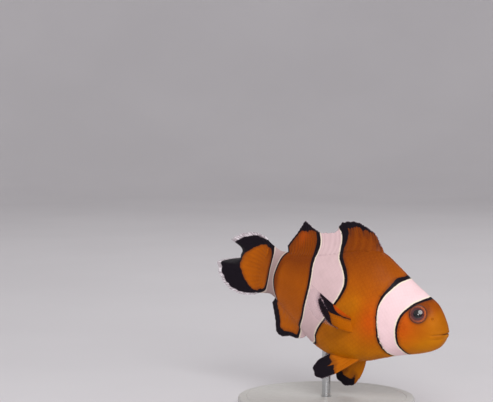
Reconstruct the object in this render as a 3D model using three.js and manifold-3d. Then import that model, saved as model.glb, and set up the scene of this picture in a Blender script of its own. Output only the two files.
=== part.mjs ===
// A clownfish (Amphiprion ocellaris) as a life-size still model on a small display stand.
// Millimetres, +Z up. The origin is the middle of the stand's underside, and the fish faces +X.
//
// Every piece of the fish is made first as a straight fish: x = -u, where u is the distance back from the
// snout, y is to its left and z is up from the body's middle line. bendAlongSpine then turns the tail to
// its left, and the fish's group tips the head down and sets it on the rod.
import * as THREE from 'three';
import { LoftGeometry } from 'three/addons/geometries/LoftGeometry.js';
import { mergeVertices } from 'three/addons/utils/BufferGeometryUtils.js';
import Module from 'manifold-3d';

// ---- driving dimensions ----------------------------------------------------------------------------
const GAP = 0.3; // between pieces that meet
const SNOUT_FACE = 0.12; // how far back the snout's small flat face lies
const STALK_END = 60.8; // where the body ends and the tail fin's rays come out

// The body's outline and half width, as [distance back from the snout, height or half width].
const BACK = [[0, -0.5], [0.35, 1.1], [1.2, 2.7], [2.6, 4.6], [4.4, 6.3], [6.5, 7.3], [10, 8.7], [13.5, 10.5],
  [17.5, 12.7], [21.5, 14.6], [25.5, 14.9], [31, 13.2], [37, 10.6], [45, 7.9], [52, 6.1], [56.5, 5.4],
  [59, 5.9], [61, 6.5]];
const BELLY = [[0, -0.5], [0.35, -2.8], [1.2, -4.5], [2.8, -5.9], [6, -7.6], [11, -9.6], [15.5, -11.6], [20, -13.8],
  [26, -15.3], [32, -15.4], [37, -14.2], [41, -12.4], [46, -10.4], [51, -8.5], [55, -7.1], [57, -7.0], [59, -7.5],
  [61, -8.1]];
const HALF_WIDTH = [[0, 0], [0.35, 1.5], [1.2, 2.4], [3, 3.5], [6.5, 4.7], [11, 5.8], [16, 6.6], [22, 6.9], [28, 6.6],
  [35, 5.5], [43, 4.0], [50, 2.8], [56, 2.0], [61, 0.7]];
const RING_STEP = 0.28; // between rings, counted in the square root of the distance from the snout
const RING_POINTS = 28;
const UPPER_TAPER = 1.12; // makes the back a little narrower than the belly

// The spine is straight to BEND_START, has turned TAIL_TURN by BEND_END and BACK_TURN back by FIN_STRAIGHT.
const BEND_START = 14;
const BEND_END = 56;
const FIN_STRAIGHT = 70;
const TAIL_TURN = THREE.MathUtils.degToRad(21);
const BACK_TURN = THREE.MathUtils.degToRad(19);
const PIVOT_U = 25; // the spine point that the pose turns about
const NOSE_DOWN = THREE.MathUtils.degToRad(12.5);

const STALK_JOINT = 46; // where the trunk meets the tail stalk
const COVER_DEPTH = 1.3; // thickness of a gill cover
const COVER_SPAN = [5, 28]; // reaches past both ends of the gill covers
const EYE_AT = { u: 7.1, z: 3.1 };
const EYE_RADIUS = 2.35;
const EYE_HALF_DEPTH = 1.35;
const EYE_BULGE = 0.76;

const SPINE_THICKNESS = 0.9; // of the hard and soft rays of a fin
const WEB_THICKNESS = 0.55; // of the membrane between them

const BASE_RADIUS = 23;
const BASE_HEIGHT = 4;
const BASE_CHAMFER = 0.6;
const ROD_RADIUS = 1.1;
const ROD_U = 32.5; // where the rod enters the belly
const ROD_SOCKET = 2.5; // depth of the rod's hole in the base
const ROD_SEAT = 4; // depth of the rod's hole in the belly
const FISH_HEIGHT = 28.9; // of the spine's pivot point above the ground

// ---- curves ----------------------------------------------------------------------------------------

// A smooth curve through [x, value] stations: cubic pieces whose slopes follow their neighbours.
function smoothCurve(stations) {
  const slope = stations.slice(1).map(([x, v], i) => (v - stations[i][1]) / (x - stations[i][0]));
  const tangent = stations.map((station, i) => {
    if (i === 0) return slope[0];
    if (i === slope.length) return slope[i - 1];
    const before = stations[i][0] - stations[i - 1][0];
    const after = stations[i + 1][0] - stations[i][0];
    return (slope[i - 1] * after + slope[i] * before) / (before + after);
  });
  return (x) => {
    let i = 0;
    while (i < slope.length - 1 && x > stations[i + 1][0]) i += 1;
    const [x0, v0] = stations[i];
    const [x1, v1] = stations[i + 1];
    const h = x1 - x0;
    const t = THREE.MathUtils.clamp((x - x0) / h, 0, 1);
    const rise = t * t * (3 - 2 * t);
    return v0 + (v1 - v0) * rise + h * (t * (1 - t) * ((1 - t) * tangent[i] - t * tangent[i + 1]));
  };
}

// Body outlines run along the square root of u, which makes the snout round.
function bodyCurve(stations) {
  const curve = smoothCurve(stations.map(([u, v]) => [Math.sqrt(u), v]));
  return (u) => curve(Math.sqrt(Math.max(u, 0)));
}

const back = bodyCurve(BACK);
const belly = bodyCurve(BELLY);
const halfWidth = bodyCurve(HALF_WIDTH);

// The surface point of the body at u, grown outwards by grow. Angle 0 is the right side, 90 degrees the back.
function bodyPoint(u, angle, grow = 0) {
  const top = back(u) + grow;
  const bottom = belly(u) - grow;
  const middle = (top + bottom) / 2;
  const side = Math.cos(angle);
  const taper = angle > 0 && angle < Math.PI ? UPPER_TAPER : 1;
  const y = -(halfWidth(u) + grow) * Math.sign(side) * Math.abs(side) ** taper;
  return new THREE.Vector3(-u, y, middle + (top - bottom) / 2 * Math.sin(angle));
}

// The point on the right side of the body at u and height z.
function flankPoint(u, z) {
  const middle = (back(u) + belly(u)) / 2;
  const height = (back(u) - belly(u)) / 2;
  return bodyPoint(u, Math.asin(THREE.MathUtils.clamp((z - middle) / height, -1, 1)));
}

// ---- solids ----------------------------------------------------------------------------------------

const wasm = await Module();
wasm.setup();

function toSolid(geometry) {
  const bare = new THREE.BufferGeometry();
  bare.setAttribute('position', geometry.attributes.position);
  bare.setIndex(geometry.index);
  const merged = mergeVertices(bare, 1e-4);
  const vertProperties = new Float32Array(merged.attributes.position.array);
  const triVerts = new Uint32Array(merged.index.array);
  return new wasm.Manifold(new wasm.Mesh({ numProp: 3, vertProperties, triVerts }));
}

function toGeometry(solid) {
  const mesh = solid.getMesh();
  const geometry = new THREE.BufferGeometry();
  geometry.setAttribute('position', new THREE.BufferAttribute(new Float32Array(mesh.vertProperties), 3));
  geometry.setIndex(new THREE.BufferAttribute(new Uint32Array(mesh.triVerts), 1));
  return geometry;
}

// The body as one solid between two distances from the snout, grown outwards by grow.
function bodySolid(grow, from, to) {
  const first = Math.sqrt(from);
  const last = Math.sqrt(to);
  const count = Math.ceil((last - first) / RING_STEP);
  const sections = [];
  for (let i = 0; i <= count; i += 1) {
    const u = (first + (last - first) * i / count) ** 2;
    const ring = [];
    for (let k = 0; k < RING_POINTS; k += 1) ring.push(bodyPoint(u, 2 * Math.PI * k / RING_POINTS, grow));
    sections.push(ring);
  }
  return toSolid(new LoftGeometry(sections, { capStart: true, capEnd: true }));
}

// A block with the side-view outline of shape (x forward, z up), from y0 to y1.
function block(shape, y0, y1) {
  const geometry = new THREE.ExtrudeGeometry(shape, { depth: y1 - y0, bevelEnabled: false, curveSegments: 10 });
  geometry.rotateX(Math.PI / 2);
  geometry.translate(0, y1, 0);
  return toSolid(geometry);
}

const WIDE = 20; // clear of the body on every side

// Everything in front of the gill opening, whose edge bows back on the flank. shift moves the edge back.
function headBlock(shift) {
  const shape = new THREE.Shape();
  shape.moveTo(-15 - shift, WIDE);
  shape.lineTo(-14.5 - shift, 13);
  shape.quadraticCurveTo(-21 - shift, 1.5, -12 - shift, -12);
  shape.lineTo(-12 - shift, -WIDE);
  shape.lineTo(WIDE, -WIDE);
  shape.lineTo(WIDE, WIDE);
  return block(shape, -WIDE, WIDE);
}

// The side-view outline of a gill cover, from the cheek to past the gill opening.
function coverBlock(grow) {
  const shape = new THREE.Shape();
  shape.moveTo(-WIDE, 4.6 + grow);
  shape.lineTo(-WIDE, -7.4 - grow);
  shape.lineTo(-12.6, -7.4 - grow);
  shape.quadraticCurveTo(-10.8 + grow, -6.6, -10.6 + grow, -2);
  shape.quadraticCurveTo(-10.6 + grow, 3.6, -13.2, 4.6 + grow);
  return block(shape, -WIDE, -1);
}

// Everything below the mouth line, back to the corner of the jaw.
function jawBlock(grow) {
  const shape = new THREE.Shape();
  shape.moveTo(WIDE, -0.3 + grow);
  shape.lineTo(0, -0.45 + grow);
  shape.lineTo(-3.4 - grow, -1.6 + grow);
  shape.lineTo(-4.6 - grow, -WIDE);
  shape.lineTo(WIDE, -WIDE);
  return block(shape, -WIDE, WIDE);
}

// The outward direction of the body's right side at u and z.
function flankNormal(u, z) {
  const step = 0.2;
  const alongBody = flankPoint(u - step, z).sub(flankPoint(u + step, z));
  const upBody = flankPoint(u, z + step).sub(flankPoint(u, z - step));
  return upBody.cross(alongBody).normalize();
}

// An eye: a ball flattened across the head's side, set so that it stands out by EYE_BULGE.
function eyeGeometry(grow) {
  const normal = flankNormal(EYE_AT.u, EYE_AT.z);
  if (normal.y > 0) normal.negate();
  const middle = flankPoint(EYE_AT.u, EYE_AT.z).addScaledVector(normal, EYE_BULGE - EYE_HALF_DEPTH);
  const geometry = new THREE.SphereGeometry(1, 16, 10);
  geometry.scale(EYE_RADIUS + grow, EYE_HALF_DEPTH + grow, EYE_RADIUS + grow);
  geometry.applyQuaternion(new THREE.Quaternion().setFromUnitVectors(new THREE.Vector3(0, 1, 0), normal));
  geometry.translate(middle.x, middle.y, middle.z);
  return geometry;
}

// ---- fins ------------------------------------------------------------------------------------------

// One slice of a fin along a ray: up one side of the blade and down the other.
function finSlice(blade, s, reach, thickness, steps) {
  const near = [];
  const far = [];
  const ds = 0.01;
  const dl = 0.02;
  for (let i = 0; i <= steps; i += 1) {
    const l = reach * i / steps;
    const along = blade(s, l + dl).sub(blade(s, l));
    const across = blade(Math.min(s + ds, 1), l).sub(blade(Math.max(s - ds, 0), l));
    const offset = along.cross(across).setLength(thickness / 2 * (1 - 0.3 * l));
    near.push(blade(s, l).add(offset));
    far.unshift(blade(s, l).sub(offset));
  }
  return [...near, ...far];
}

// Joins a row of slices into one closed geometry, with rungs between the two sides of the first and the last.
function joinSlices(slices) {
  const count = slices[0].length;
  const index = [];
  const quad = (a, b, c, d) => index.push(a, b, c, a, c, d);
  for (let k = 0; k < slices.length - 1; k += 1) {
    for (let j = 0; j < count; j += 1) {
      const here = k * count + j;
      const next = k * count + (j + 1) % count;
      quad(here, next, next + count, here + count);
    }
  }
  const end = (slices.length - 1) * count;
  for (let j = 0; j < count / 2 - 1; j += 1) {
    const across = count - 1 - j;
    quad(across, across - 1, j + 1, j);
    quad(end + j, end + j + 1, end + across - 1, end + across);
  }
  const geometry = new THREE.BufferGeometry().setFromPoints(slices.flat());
  geometry.setIndex(index);
  return geometry;
}

// A fin of rays with membrane between them. blade(s, l) is its middle surface, with s from the first ray (0)
// to the last (1) and l from the root (0) to the margin (1); the membrane falls short of each ray by notch.
function finSolid(blade, rays, { steps = 4, notch = 0.03 } = {}) {
  const slices = [];
  const last = 2 * (rays - 1);
  for (let k = 0; k <= last; k += 1) {
    const isRay = k % 2 === 0;
    const thickness = isRay ? SPINE_THICKNESS : WEB_THICKNESS;
    slices.push(finSlice(blade, k / last, isRay ? 1 : 1 - notch, thickness, steps));
  }
  return toSolid(joinSlices(slices));
}

// The blade of a fin on the middle line: its rays run from the body's edge to the tips, bowed towards the head.
// Rows are [root u, tip u, tip z], evenly spread over s.
function medianBlade(rows, edge, inset, bow) {
  const column = (k) => smoothCurve(rows.map((row, i) => [i / (rows.length - 1), row[k]]));
  const [rootU, tipU, tipZ] = [column(0), column(1), column(2)];
  return (s, l) => {
    const root = new THREE.Vector3(-rootU(s), 0, edge(rootU(s)) - inset);
    const tip = new THREE.Vector3(-tipU(s), 0, tipZ(s));
    const ray = tip.clone().sub(root);
    const lift = new THREE.Vector3(ray.z, 0, -ray.x).multiplyScalar(4 * l * (1 - l) * bow);
    return root.addScaledVector(ray, l).add(lift);
  };
}

const DORSAL_SPINES = [[21.6, 22.6, 16.0], [23.2, 25.0, 18.6], [25.2, 27.6, 19.6], [27.4, 30.0, 20.1],
  [29.6, 32.2, 20.1], [31.6, 34.2, 19.5], [33.2, 35.7, 18.8], [34.6, 36.5, 17.6], [36.0, 36.9, 16.2],
  [37.6, 38.6, 15.3], [39.4, 40.6, 14.7]];
const DORSAL_RAYS = [[40.1, 41.4, 14.4], [41.4, 43.4, 14.4], [43.0, 46.2, 15.1], [44.6, 48.6, 15.7],
  [46.4, 49.6, 14.0], [48.2, 50.5, 12.3], [50.4, 52.1, 9.7], [52.6, 53.6, 7.4]];
const ANAL_RAYS = [[39.6, 41.2, -14.3], [41.2, 43.2, -15.1], [43.0, 45.9, -15.4], [45.0, 48.9, -16.4],
  [47.2, 51.4, -15.9], [49.4, 52.6, -13.2], [51.8, 53.8, -11.2], [54.2, 55.3, -8.9]];
const ROOT_INSET = 0.5; // how far a median fin's rays start inside the body's edge
const RAY_BOW = 0.06;

// The tail fin's margin from its lowest ray to its highest, laid flat, as [u, z].
const CAUDAL_MARGIN = [[62.7, -9.0], [66.4, -10.1], [71.0, -9.9], [74.8, -7.7], [76.8, -3.9], [77.4, -1.2],
  [76.6, 1.4], [73.6, 3.9], [70.6, 6.1], [66.4, 7.5], [62.6, 7.3]];
const CAUDAL_ROOT = { middle: -0.8, halfHeight: 7.1 };
// The middle rays curl to the fish's left: how far at their tips, from where along them, and over which rays.
const CURL = THREE.MathUtils.degToRad(118);
const CURL_START = 0.34;
const CURL_RISE = [0.4, 0.48];
const CURL_FALL = [0.58, 0.7];
const caudalMargin = new THREE.SplineCurve(CAUDAL_MARGIN.map(([u, z]) => new THREE.Vector2(u, z)));

// The tail fin: a fan whose middle rays curl away to the left, so that it is cupped.
function caudalBlade(s, l) {
  const root = new THREE.Vector2(STALK_END + GAP, CAUDAL_ROOT.middle + (2 * s - 1) * CAUDAL_ROOT.halfHeight);
  const ray = caudalMargin.getPoint(s).sub(root);
  const share = THREE.MathUtils.smoothstep(s, ...CURL_RISE) * (1 - THREE.MathUtils.smoothstep(s, ...CURL_FALL));
  const curl = Math.max(CURL * share, 1e-3);
  // The turn grows evenly from CURL_START to the tip, so the curled part is an arc of a circle.
  const bent = Math.max(l - CURL_START, 0) / (1 - CURL_START);
  const arc = (1 - CURL_START) / curl;
  const forward = bent > 0 ? CURL_START + arc * Math.sin(curl * bent) : l;
  const sideways = arc * (1 - Math.cos(curl * bent));
  return new THREE.Vector3(-(root.x + ray.x * forward), ray.length() * sideways, root.y + ray.y * forward);
}

// The blade of a paired fin on the right side: rays from a root line to a margin through given points, [u, y, z].
function pairedBlade(rootStart, rootEnd, margin, bowTo) {
  const toPoint = ([u, y, z]) => new THREE.Vector3(-u, y, z);
  const edge = new THREE.CatmullRomCurve3(margin.map(toPoint));
  const bow = toPoint(bowTo);
  return (s, l) => {
    const root = toPoint(rootStart).lerp(toPoint(rootEnd), s);
    return root.lerp(edge.getPoint(s), l).addScaledVector(bow, 4 * l * (1 - l));
  };
}

const PECTORAL_MARGIN = [[27.9, -19.9, 5.6], [28.1, -21.2, 3.0], [27.3, -20.9, 0.3], [25.9, -18.8, -2.4],
  [23.9, -15.9, -3.6]];
const PELVIC_RIGHT_MARGIN = [[26.2, -4.5, -18.9], [28.0, -4.8, -20.3], [29.8, -4.8, -21.2], [31.6, -4.6, -20.9],
  [32.8, -4.2, -19.6], [32.7, -3.7, -17.9], [31.5, -3.2, -16.2], [29.9, -2.6, -14.7]];
const PELVIC_LEFT_MARGIN = [[23.3, -4.2, -20.2], [24.6, -4.6, -22.3], [26.8, -4.7, -23.5], [29.2, -4.5, -23.2],
  [30.7, -4.0, -21.8], [30.6, -3.4, -19.8], [29.4, -2.9, -18.0]];

const pectoralBlade = pairedBlade([23.6, -5.8, -3.0], [22.8, -5.6, -6.4], PECTORAL_MARGIN, [0.3, 0, -0.2]);
const pelvicRightBlade = pairedBlade([21.4, -2.0, -13.6], [26.6, -1.4, -14.6], PELVIC_RIGHT_MARGIN, [-0.2, -0.3, 0.1]);
const pelvicLeftBlade = pairedBlade([21.4, -1.9, -13.6], [24.8, -1.2, -14.6], PELVIC_LEFT_MARGIN, [-0.3, -0.3, 0.2]);

// ---- the bend --------------------------------------------------------------------------------------

// How far the spine has turned to the left at u.
function turnAt(u) {
  const tail = THREE.MathUtils.smoothstep(u, BEND_START, BEND_END) * TAIL_TURN;
  const fin = THREE.MathUtils.smoothstep(u, BEND_END, FIN_STRAIGHT) * BACK_TURN;
  return tail - fin;
}

// The spine's course, found by walking along it in short steps from its pivot point.
const WALK_STEP = 0.25;
function walkSpine() {
  const course = new Map([[0, new THREE.Vector2(0, 0)]]);
  for (const way of [1, -1]) {
    const at = new THREE.Vector2(0, 0);
    for (let i = 0; i < 240; i += 1) {
      const turn = turnAt(PIVOT_U + way * (i + 0.5) * WALK_STEP);
      at.x -= way * Math.cos(turn) * WALK_STEP;
      at.y += way * Math.sin(turn) * WALK_STEP;
      course.set(way * (i + 1), at.clone());
    }
  }
  return course;
}
const SPINE = walkSpine();

function spineAt(u) {
  const step = (u - PIVOT_U) / WALK_STEP;
  const before = Math.floor(step);
  return SPINE.get(before).clone().lerp(SPINE.get(before + 1), step - before);
}

// Takes a point of the straight fish to its place in the bent one.
function bendPoint(point) {
  const u = -point.x;
  const turn = turnAt(u);
  const spine = spineAt(u);
  return new THREE.Vector3(spine.x + Math.sin(turn) * point.y, spine.y + Math.cos(turn) * point.y, point.z);
}

function bendAlongSpine(geometry) {
  const position = geometry.attributes.position;
  const point = new THREE.Vector3();
  for (let i = 0; i < position.count; i += 1) {
    point.copy(bendPoint(point.fromBufferAttribute(position, i)));
    position.setXYZ(i, point.x, point.y, point.z);
  }
  geometry.computeVertexNormals();
  return geometry;
}

// The same geometry on the fish's other side.
function mirrored(geometry) {
  const other = geometry.clone().scale(1, -1, 1);
  const index = other.index.array;
  for (let i = 0; i < index.length; i += 3) [index[i], index[i + 1]] = [index[i + 1], index[i]];
  return other;
}

// ---- materials -------------------------------------------------------------------------------------

const skin = (color, roughness = 0.5) => new THREE.MeshStandardMaterial({ color, roughness, metalness: 0 });
const ORANGE = 0xb8600e;
const DEEP_ORANGE = 0x9a4c08;
const PALE = 0xe8c9c4;
const FIN_ORANGE = 0xa0520c;

// ---- the model -------------------------------------------------------------------------------------

const fish = new THREE.Group();
fish.rotation.y = NOSE_DOWN;

function addToFish(name, geometry, material) {
  const mesh = new THREE.Mesh(bendAlongSpine(geometry), material);
  mesh.name = name;
  fish.add(mesh);
}

// Where the rod enters the belly, in the fish's group and then on the stand.
const rodEntry = bendPoint(new THREE.Vector3(-ROD_U, 0, belly(ROD_U)));
const rodEntryTurned = rodEntry.clone().applyEuler(fish.rotation);
fish.position.set(-rodEntryTurned.x, -rodEntryTurned.y, FISH_HEIGHT);

const body = bodySolid(0, SNOUT_FACE, STALK_END);
const grownBody = bodySolid(GAP, SNOUT_FACE, STALK_END + GAP);
const coverBed = bodySolid(-COVER_DEPTH, ...COVER_SPAN); // what lies under the gill covers
const coverBedLower = bodySolid(-COVER_DEPTH - GAP, ...COVER_SPAN);

function addHead() {
  const front = body.intersect(headBlock(0));
  const rightCover = front.intersect(coverBlock(0)).subtract(coverBed);
  const coverSeat = coverBlock(GAP).subtract(coverBedLower);
  const leftCoverSeat = toSolid(mirrored(toGeometry(coverSeat)));
  const socket = toSolid(eyeGeometry(GAP));
  const leftSocket = toSolid(mirrored(eyeGeometry(GAP)));
  const jaw = front.intersect(jawBlock(0));
  const head = front.subtract(jawBlock(GAP)).subtract(coverSeat).subtract(leftCoverSeat).subtract(socket)
    .subtract(leftSocket);
  addToFish('head', toGeometry(head), skin(ORANGE));
  addToFish('lower_jaw', toGeometry(jaw), skin(ORANGE));
  addToFish('gill_cover_right', toGeometry(rightCover), skin(PALE));
  addToFish('gill_cover_left', mirrored(toGeometry(rightCover)), skin(PALE));
  addToFish('eye_right', eyeGeometry(0), skin(0x120d10, 0.1));
  addToFish('eye_left', mirrored(eyeGeometry(0)), skin(0x120d10, 0.1));
}

// The rod's path through the fish, as a straight column in the fish's own frame before the bend.
function rodHole() {
  const radius = ROD_RADIUS + GAP;
  const geometry = new THREE.CylinderGeometry(radius, radius, 2 * ROD_SEAT, 16);
  geometry.rotateX(Math.PI / 2);
  geometry.rotateY(-NOSE_DOWN);
  geometry.translate(-ROD_U, 0, belly(ROD_U));
  return toSolid(geometry);
}

function addTrunk() {
  const stalkBlock = (from) => {
    const shape = new THREE.Shape();
    shape.moveTo(-from, -WIDE);
    shape.lineTo(-from, WIDE);
    shape.lineTo(-STALK_END - WIDE, WIDE);
    shape.lineTo(-STALK_END - WIDE, -WIDE);
    return block(shape, -WIDE, WIDE);
  };
  const trunk = body.subtract(headBlock(GAP)).subtract(stalkBlock(STALK_JOINT - GAP)).subtract(rodHole());
  addToFish('trunk', toGeometry(trunk), skin(ORANGE));
  addToFish('tail_stalk', toGeometry(body.intersect(stalkBlock(STALK_JOINT))), skin(DEEP_ORANGE));
}

function addFin(name, blade, rays, options) {
  addToFish(name, toGeometry(finSolid(blade, rays, options).subtract(grownBody)), skin(FIN_ORANGE, 0.55));
}

function addLeftFin(name, blade, rays, options) {
  const geometry = toGeometry(finSolid(blade, rays, options).subtract(grownBody));
  addToFish(name, mirrored(geometry), skin(FIN_ORANGE, 0.55));
}

function addFins() {
  addFin('dorsal_fin_spiny', medianBlade(DORSAL_SPINES, back, ROOT_INSET, RAY_BOW), 11, { notch: 0.06 });
  addFin('dorsal_fin_soft', medianBlade(DORSAL_RAYS, back, ROOT_INSET, RAY_BOW), 15);
  addFin('anal_fin', medianBlade(ANAL_RAYS, belly, -ROOT_INSET, -RAY_BOW), 13);
  addFin('caudal_fin', caudalBlade, 16, { steps: 6, notch: 0.025 });
  addFin('pectoral_fin_right', pectoralBlade, 12);
  addLeftFin('pectoral_fin_left', pectoralBlade, 12);
  addFin('pelvic_fin_right', pelvicRightBlade, 6);
  addLeftFin('pelvic_fin_left', pelvicLeftBlade, 6);
}

function addStand(group) {
  const socketRadius = ROD_RADIUS + GAP;
  const profile = [[0, 0], [BASE_RADIUS - BASE_CHAMFER, 0], [BASE_RADIUS, BASE_CHAMFER],
    [BASE_RADIUS, BASE_HEIGHT - BASE_CHAMFER], [BASE_RADIUS - BASE_CHAMFER, BASE_HEIGHT],
    [socketRadius, BASE_HEIGHT], [socketRadius, BASE_HEIGHT - ROD_SOCKET], [0, BASE_HEIGHT - ROD_SOCKET]];
  const disc = new THREE.LatheGeometry(profile.map(([r, z]) => new THREE.Vector2(r, z)), 40);
  disc.rotateX(Math.PI / 2);
  const base = new THREE.Mesh(disc, new THREE.MeshStandardMaterial({ color: 0xc9c8c4, roughness: 0.45, metalness: 0 }));
  base.name = 'stand_base';
  group.add(base);

  const foot = BASE_HEIGHT - ROD_SOCKET + GAP;
  const top = FISH_HEIGHT + rodEntryTurned.z + ROD_SEAT - GAP;
  const rod = new THREE.Mesh(new THREE.CylinderGeometry(ROD_RADIUS, ROD_RADIUS, top - foot, 24),
    new THREE.MeshStandardMaterial({ color: 0xb9bcc0, roughness: 0.3, metalness: 1 }));
  rod.name = 'stand_rod';
  rod.rotation.x = Math.PI / 2;
  rod.position.z = (top + foot) / 2;
  group.add(rod);
}

const model = new THREE.Group();
addHead();
addTrunk();
addFins();
model.add(fish);
addStand(model);

export default model;
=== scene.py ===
"""A clownfish as a life-size still model: its skin and fins, scales, eyes, display stand and stage.

The fish is shaped straight first, in millimetres: x = -u, where u is the distance back from the snout,
y is to the fish's left and z is up from the body's middle line. to_model bends it and sets it on its rod.
"""

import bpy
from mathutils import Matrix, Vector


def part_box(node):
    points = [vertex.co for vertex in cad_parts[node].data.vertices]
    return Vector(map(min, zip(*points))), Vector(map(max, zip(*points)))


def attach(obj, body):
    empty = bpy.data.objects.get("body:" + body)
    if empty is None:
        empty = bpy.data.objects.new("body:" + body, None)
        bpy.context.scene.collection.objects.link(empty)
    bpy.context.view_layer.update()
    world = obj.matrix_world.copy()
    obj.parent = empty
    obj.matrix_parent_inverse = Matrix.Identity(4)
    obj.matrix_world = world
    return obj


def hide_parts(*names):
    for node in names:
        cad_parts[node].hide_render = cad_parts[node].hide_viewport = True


bl_info = {
    "name": "Clownfish model",
    "version": (1, 0, 0),
    "blender": (4, 5, 0),
    "location": "3D View > Sidebar > Clownfish",
    "description": "Makes the skin, scales, eyes and stand of a life-size clownfish model",
    "category": "Object",
}

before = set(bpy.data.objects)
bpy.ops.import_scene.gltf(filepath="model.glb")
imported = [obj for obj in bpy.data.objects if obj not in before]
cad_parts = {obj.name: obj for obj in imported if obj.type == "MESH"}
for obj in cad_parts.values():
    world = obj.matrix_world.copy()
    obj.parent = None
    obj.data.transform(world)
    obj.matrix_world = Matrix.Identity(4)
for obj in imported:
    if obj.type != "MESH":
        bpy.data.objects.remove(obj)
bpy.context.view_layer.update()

import math
from functools import partialmethod
from types import SimpleNamespace

import bpy
import numpy as np
from bpy.props import FloatProperty, FloatVectorProperty, IntProperty, PointerProperty
from mathutils import Matrix, Vector

BODY = "root"
MM = 0.001

# ---- the fish's shape, as the solids have it -------------------------------------------------------

# The body's back and belly, as [u, z], and half its width, as [u, half width].
BACK = [
    [0, -0.5], [0.35, 1.1], [1.2, 2.7], [2.6, 4.6], [4.4, 6.3], [6.5, 7.3], [10, 8.7], [13.5, 10.5],
    [17.5, 12.7], [21.5, 14.6], [25.5, 14.9], [31, 13.2], [37, 10.6], [45, 7.9], [52, 6.1], [56.5, 5.4],
    [59, 5.9], [61, 6.5], [66, 7.3],
]
BELLY = [
    [0, -0.5], [0.35, -2.8], [1.2, -4.5], [2.8, -5.9], [6, -7.6], [11, -9.6], [15.5, -11.6], [20, -13.8],
    [26, -15.3], [32, -15.4], [37, -14.2], [41, -12.4], [46, -10.4], [51, -8.5], [55, -7.1], [57, -7.0],
    [59, -7.5], [61, -8.1], [66, -9.1],
]
HALF_WIDTH = [
    [0, 0], [0.35, 1.5], [1.2, 2.4], [3, 3.5], [6.5, 4.7], [11, 5.8], [16, 6.6], [22, 6.9], [28, 6.6],
    [35, 5.5], [43, 4.0], [50, 2.8], [56, 2.0], [61, 0.7], [63, 0.4], [66, 0.12],
]
UPPER_TAPER = 1.12  # the power that makes the section's upper half slimmer than an ellipse
SKIN_END = 65.0

BEND_START = 14
BEND_END = 56
FIN_STRAIGHT = 70  # where the tail fin has turned back
TAIL_TURN = math.radians(21)
BACK_TURN = math.radians(19)
PIVOT_U = 25  # the place on the spine that the bend leaves where it is
NOSE_DOWN = math.radians(12.5)
ROD_U = 32.5
ROD_SEAT = 4  # how deep the rod goes into the belly
GAP = 0.3  # between solids that touch

EYE_U = 7.1
EYE_Z = 3.1
EYE_RADIUS = 2.35
EYE_HALF_DEPTH = 1.35
EYE_BULGE = 0.76  # how far the eye stands out of the flank

# The median fins' spines and rays, as [u of the root, u of the tip, z of the tip].
DORSAL_SPINES = [
    [21.6, 22.6, 16.0], [23.2, 25.0, 18.6], [25.2, 27.6, 19.6], [27.4, 30.0, 20.1], [29.6, 32.2, 20.1],
    [31.6, 34.2, 19.5], [33.2, 35.7, 18.8], [34.6, 36.5, 17.6], [36.0, 36.9, 16.2], [37.6, 38.6, 15.3],
    [39.4, 40.6, 14.7],
]
DORSAL_RAYS = [
    [40.1, 41.4, 14.4], [41.4, 43.4, 14.4], [43.0, 46.2, 15.1], [44.6, 48.6, 15.7], [46.4, 49.6, 14.0],
    [48.2, 50.5, 12.3], [50.4, 52.1, 9.7], [52.6, 53.6, 7.4],
]
ANAL_RAYS = [
    [39.6, 41.2, -14.3], [41.2, 43.2, -15.1], [43.0, 45.9, -15.4], [45.0, 48.9, -16.4],
    [47.2, 51.4, -15.9], [49.4, 52.6, -13.2], [51.8, 53.8, -11.2], [54.2, 55.3, -8.9],
]
ROOT_INSET = 0.5  # how deep in the body a median fin's rays start
FOOT_DEPTH = 1.0  # how deep in the body a median fin's foot is broadest
FOOT_SPREAD = 1.6  # how quickly the foot thins above that
RAY_BOW = 0.06  # how far a ray bows, as a share of its length
# The margins of the other fins: [u, z] on the flat tail fin, and [u, y, z] on the paired fins.
CAUDAL_MARGIN = [
    [62.7, -9.0], [66.4, -10.1], [71.0, -9.9], [74.8, -7.7], [76.8, -3.9], [77.4, -1.2], [76.6, 1.4],
    [73.6, 3.9], [70.6, 6.1], [66.4, 7.5], [62.6, 7.3],
]
CAUDAL_ROOT_U = 61.1
CAUDAL_MIDDLE = -0.8  # the height of its root line's middle
CAUDAL_HALF_HEIGHT = 7.1  # half the height of that line
CURL = math.radians(118)
CURL_START = 0.34  # the share of a ray that stays straight
CURL_RISE = (0.4, 0.48)  # shares of the fin's height between which the curl sets in
CURL_FALL = (0.58, 0.7)
PECTORAL_MARGIN = [
    [27.9, -19.9, 5.6], [28.1, -21.2, 3.0], [27.3, -20.9, 0.3], [25.9, -18.8, -2.4], [23.9, -15.9, -3.6],
]
PELVIC_RIGHT_MARGIN = [
    [26.2, -4.5, -18.9], [28.0, -4.8, -20.3], [29.8, -4.8, -21.2], [31.6, -4.6, -20.9],
    [32.8, -4.2, -19.6], [32.7, -3.7, -17.9], [31.5, -3.2, -16.2], [29.9, -2.6, -14.7],
]
PELVIC_LEFT_MARGIN = [
    [23.3, -4.2, -20.2], [24.6, -4.6, -22.3], [26.8, -4.7, -23.5], [29.2, -4.5, -23.2],
    [30.7, -4.0, -21.8], [30.6, -3.4, -19.8], [29.4, -2.9, -18.0],
]

# ---- the markings on the flank ---------------------------------------------------------------------

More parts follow.
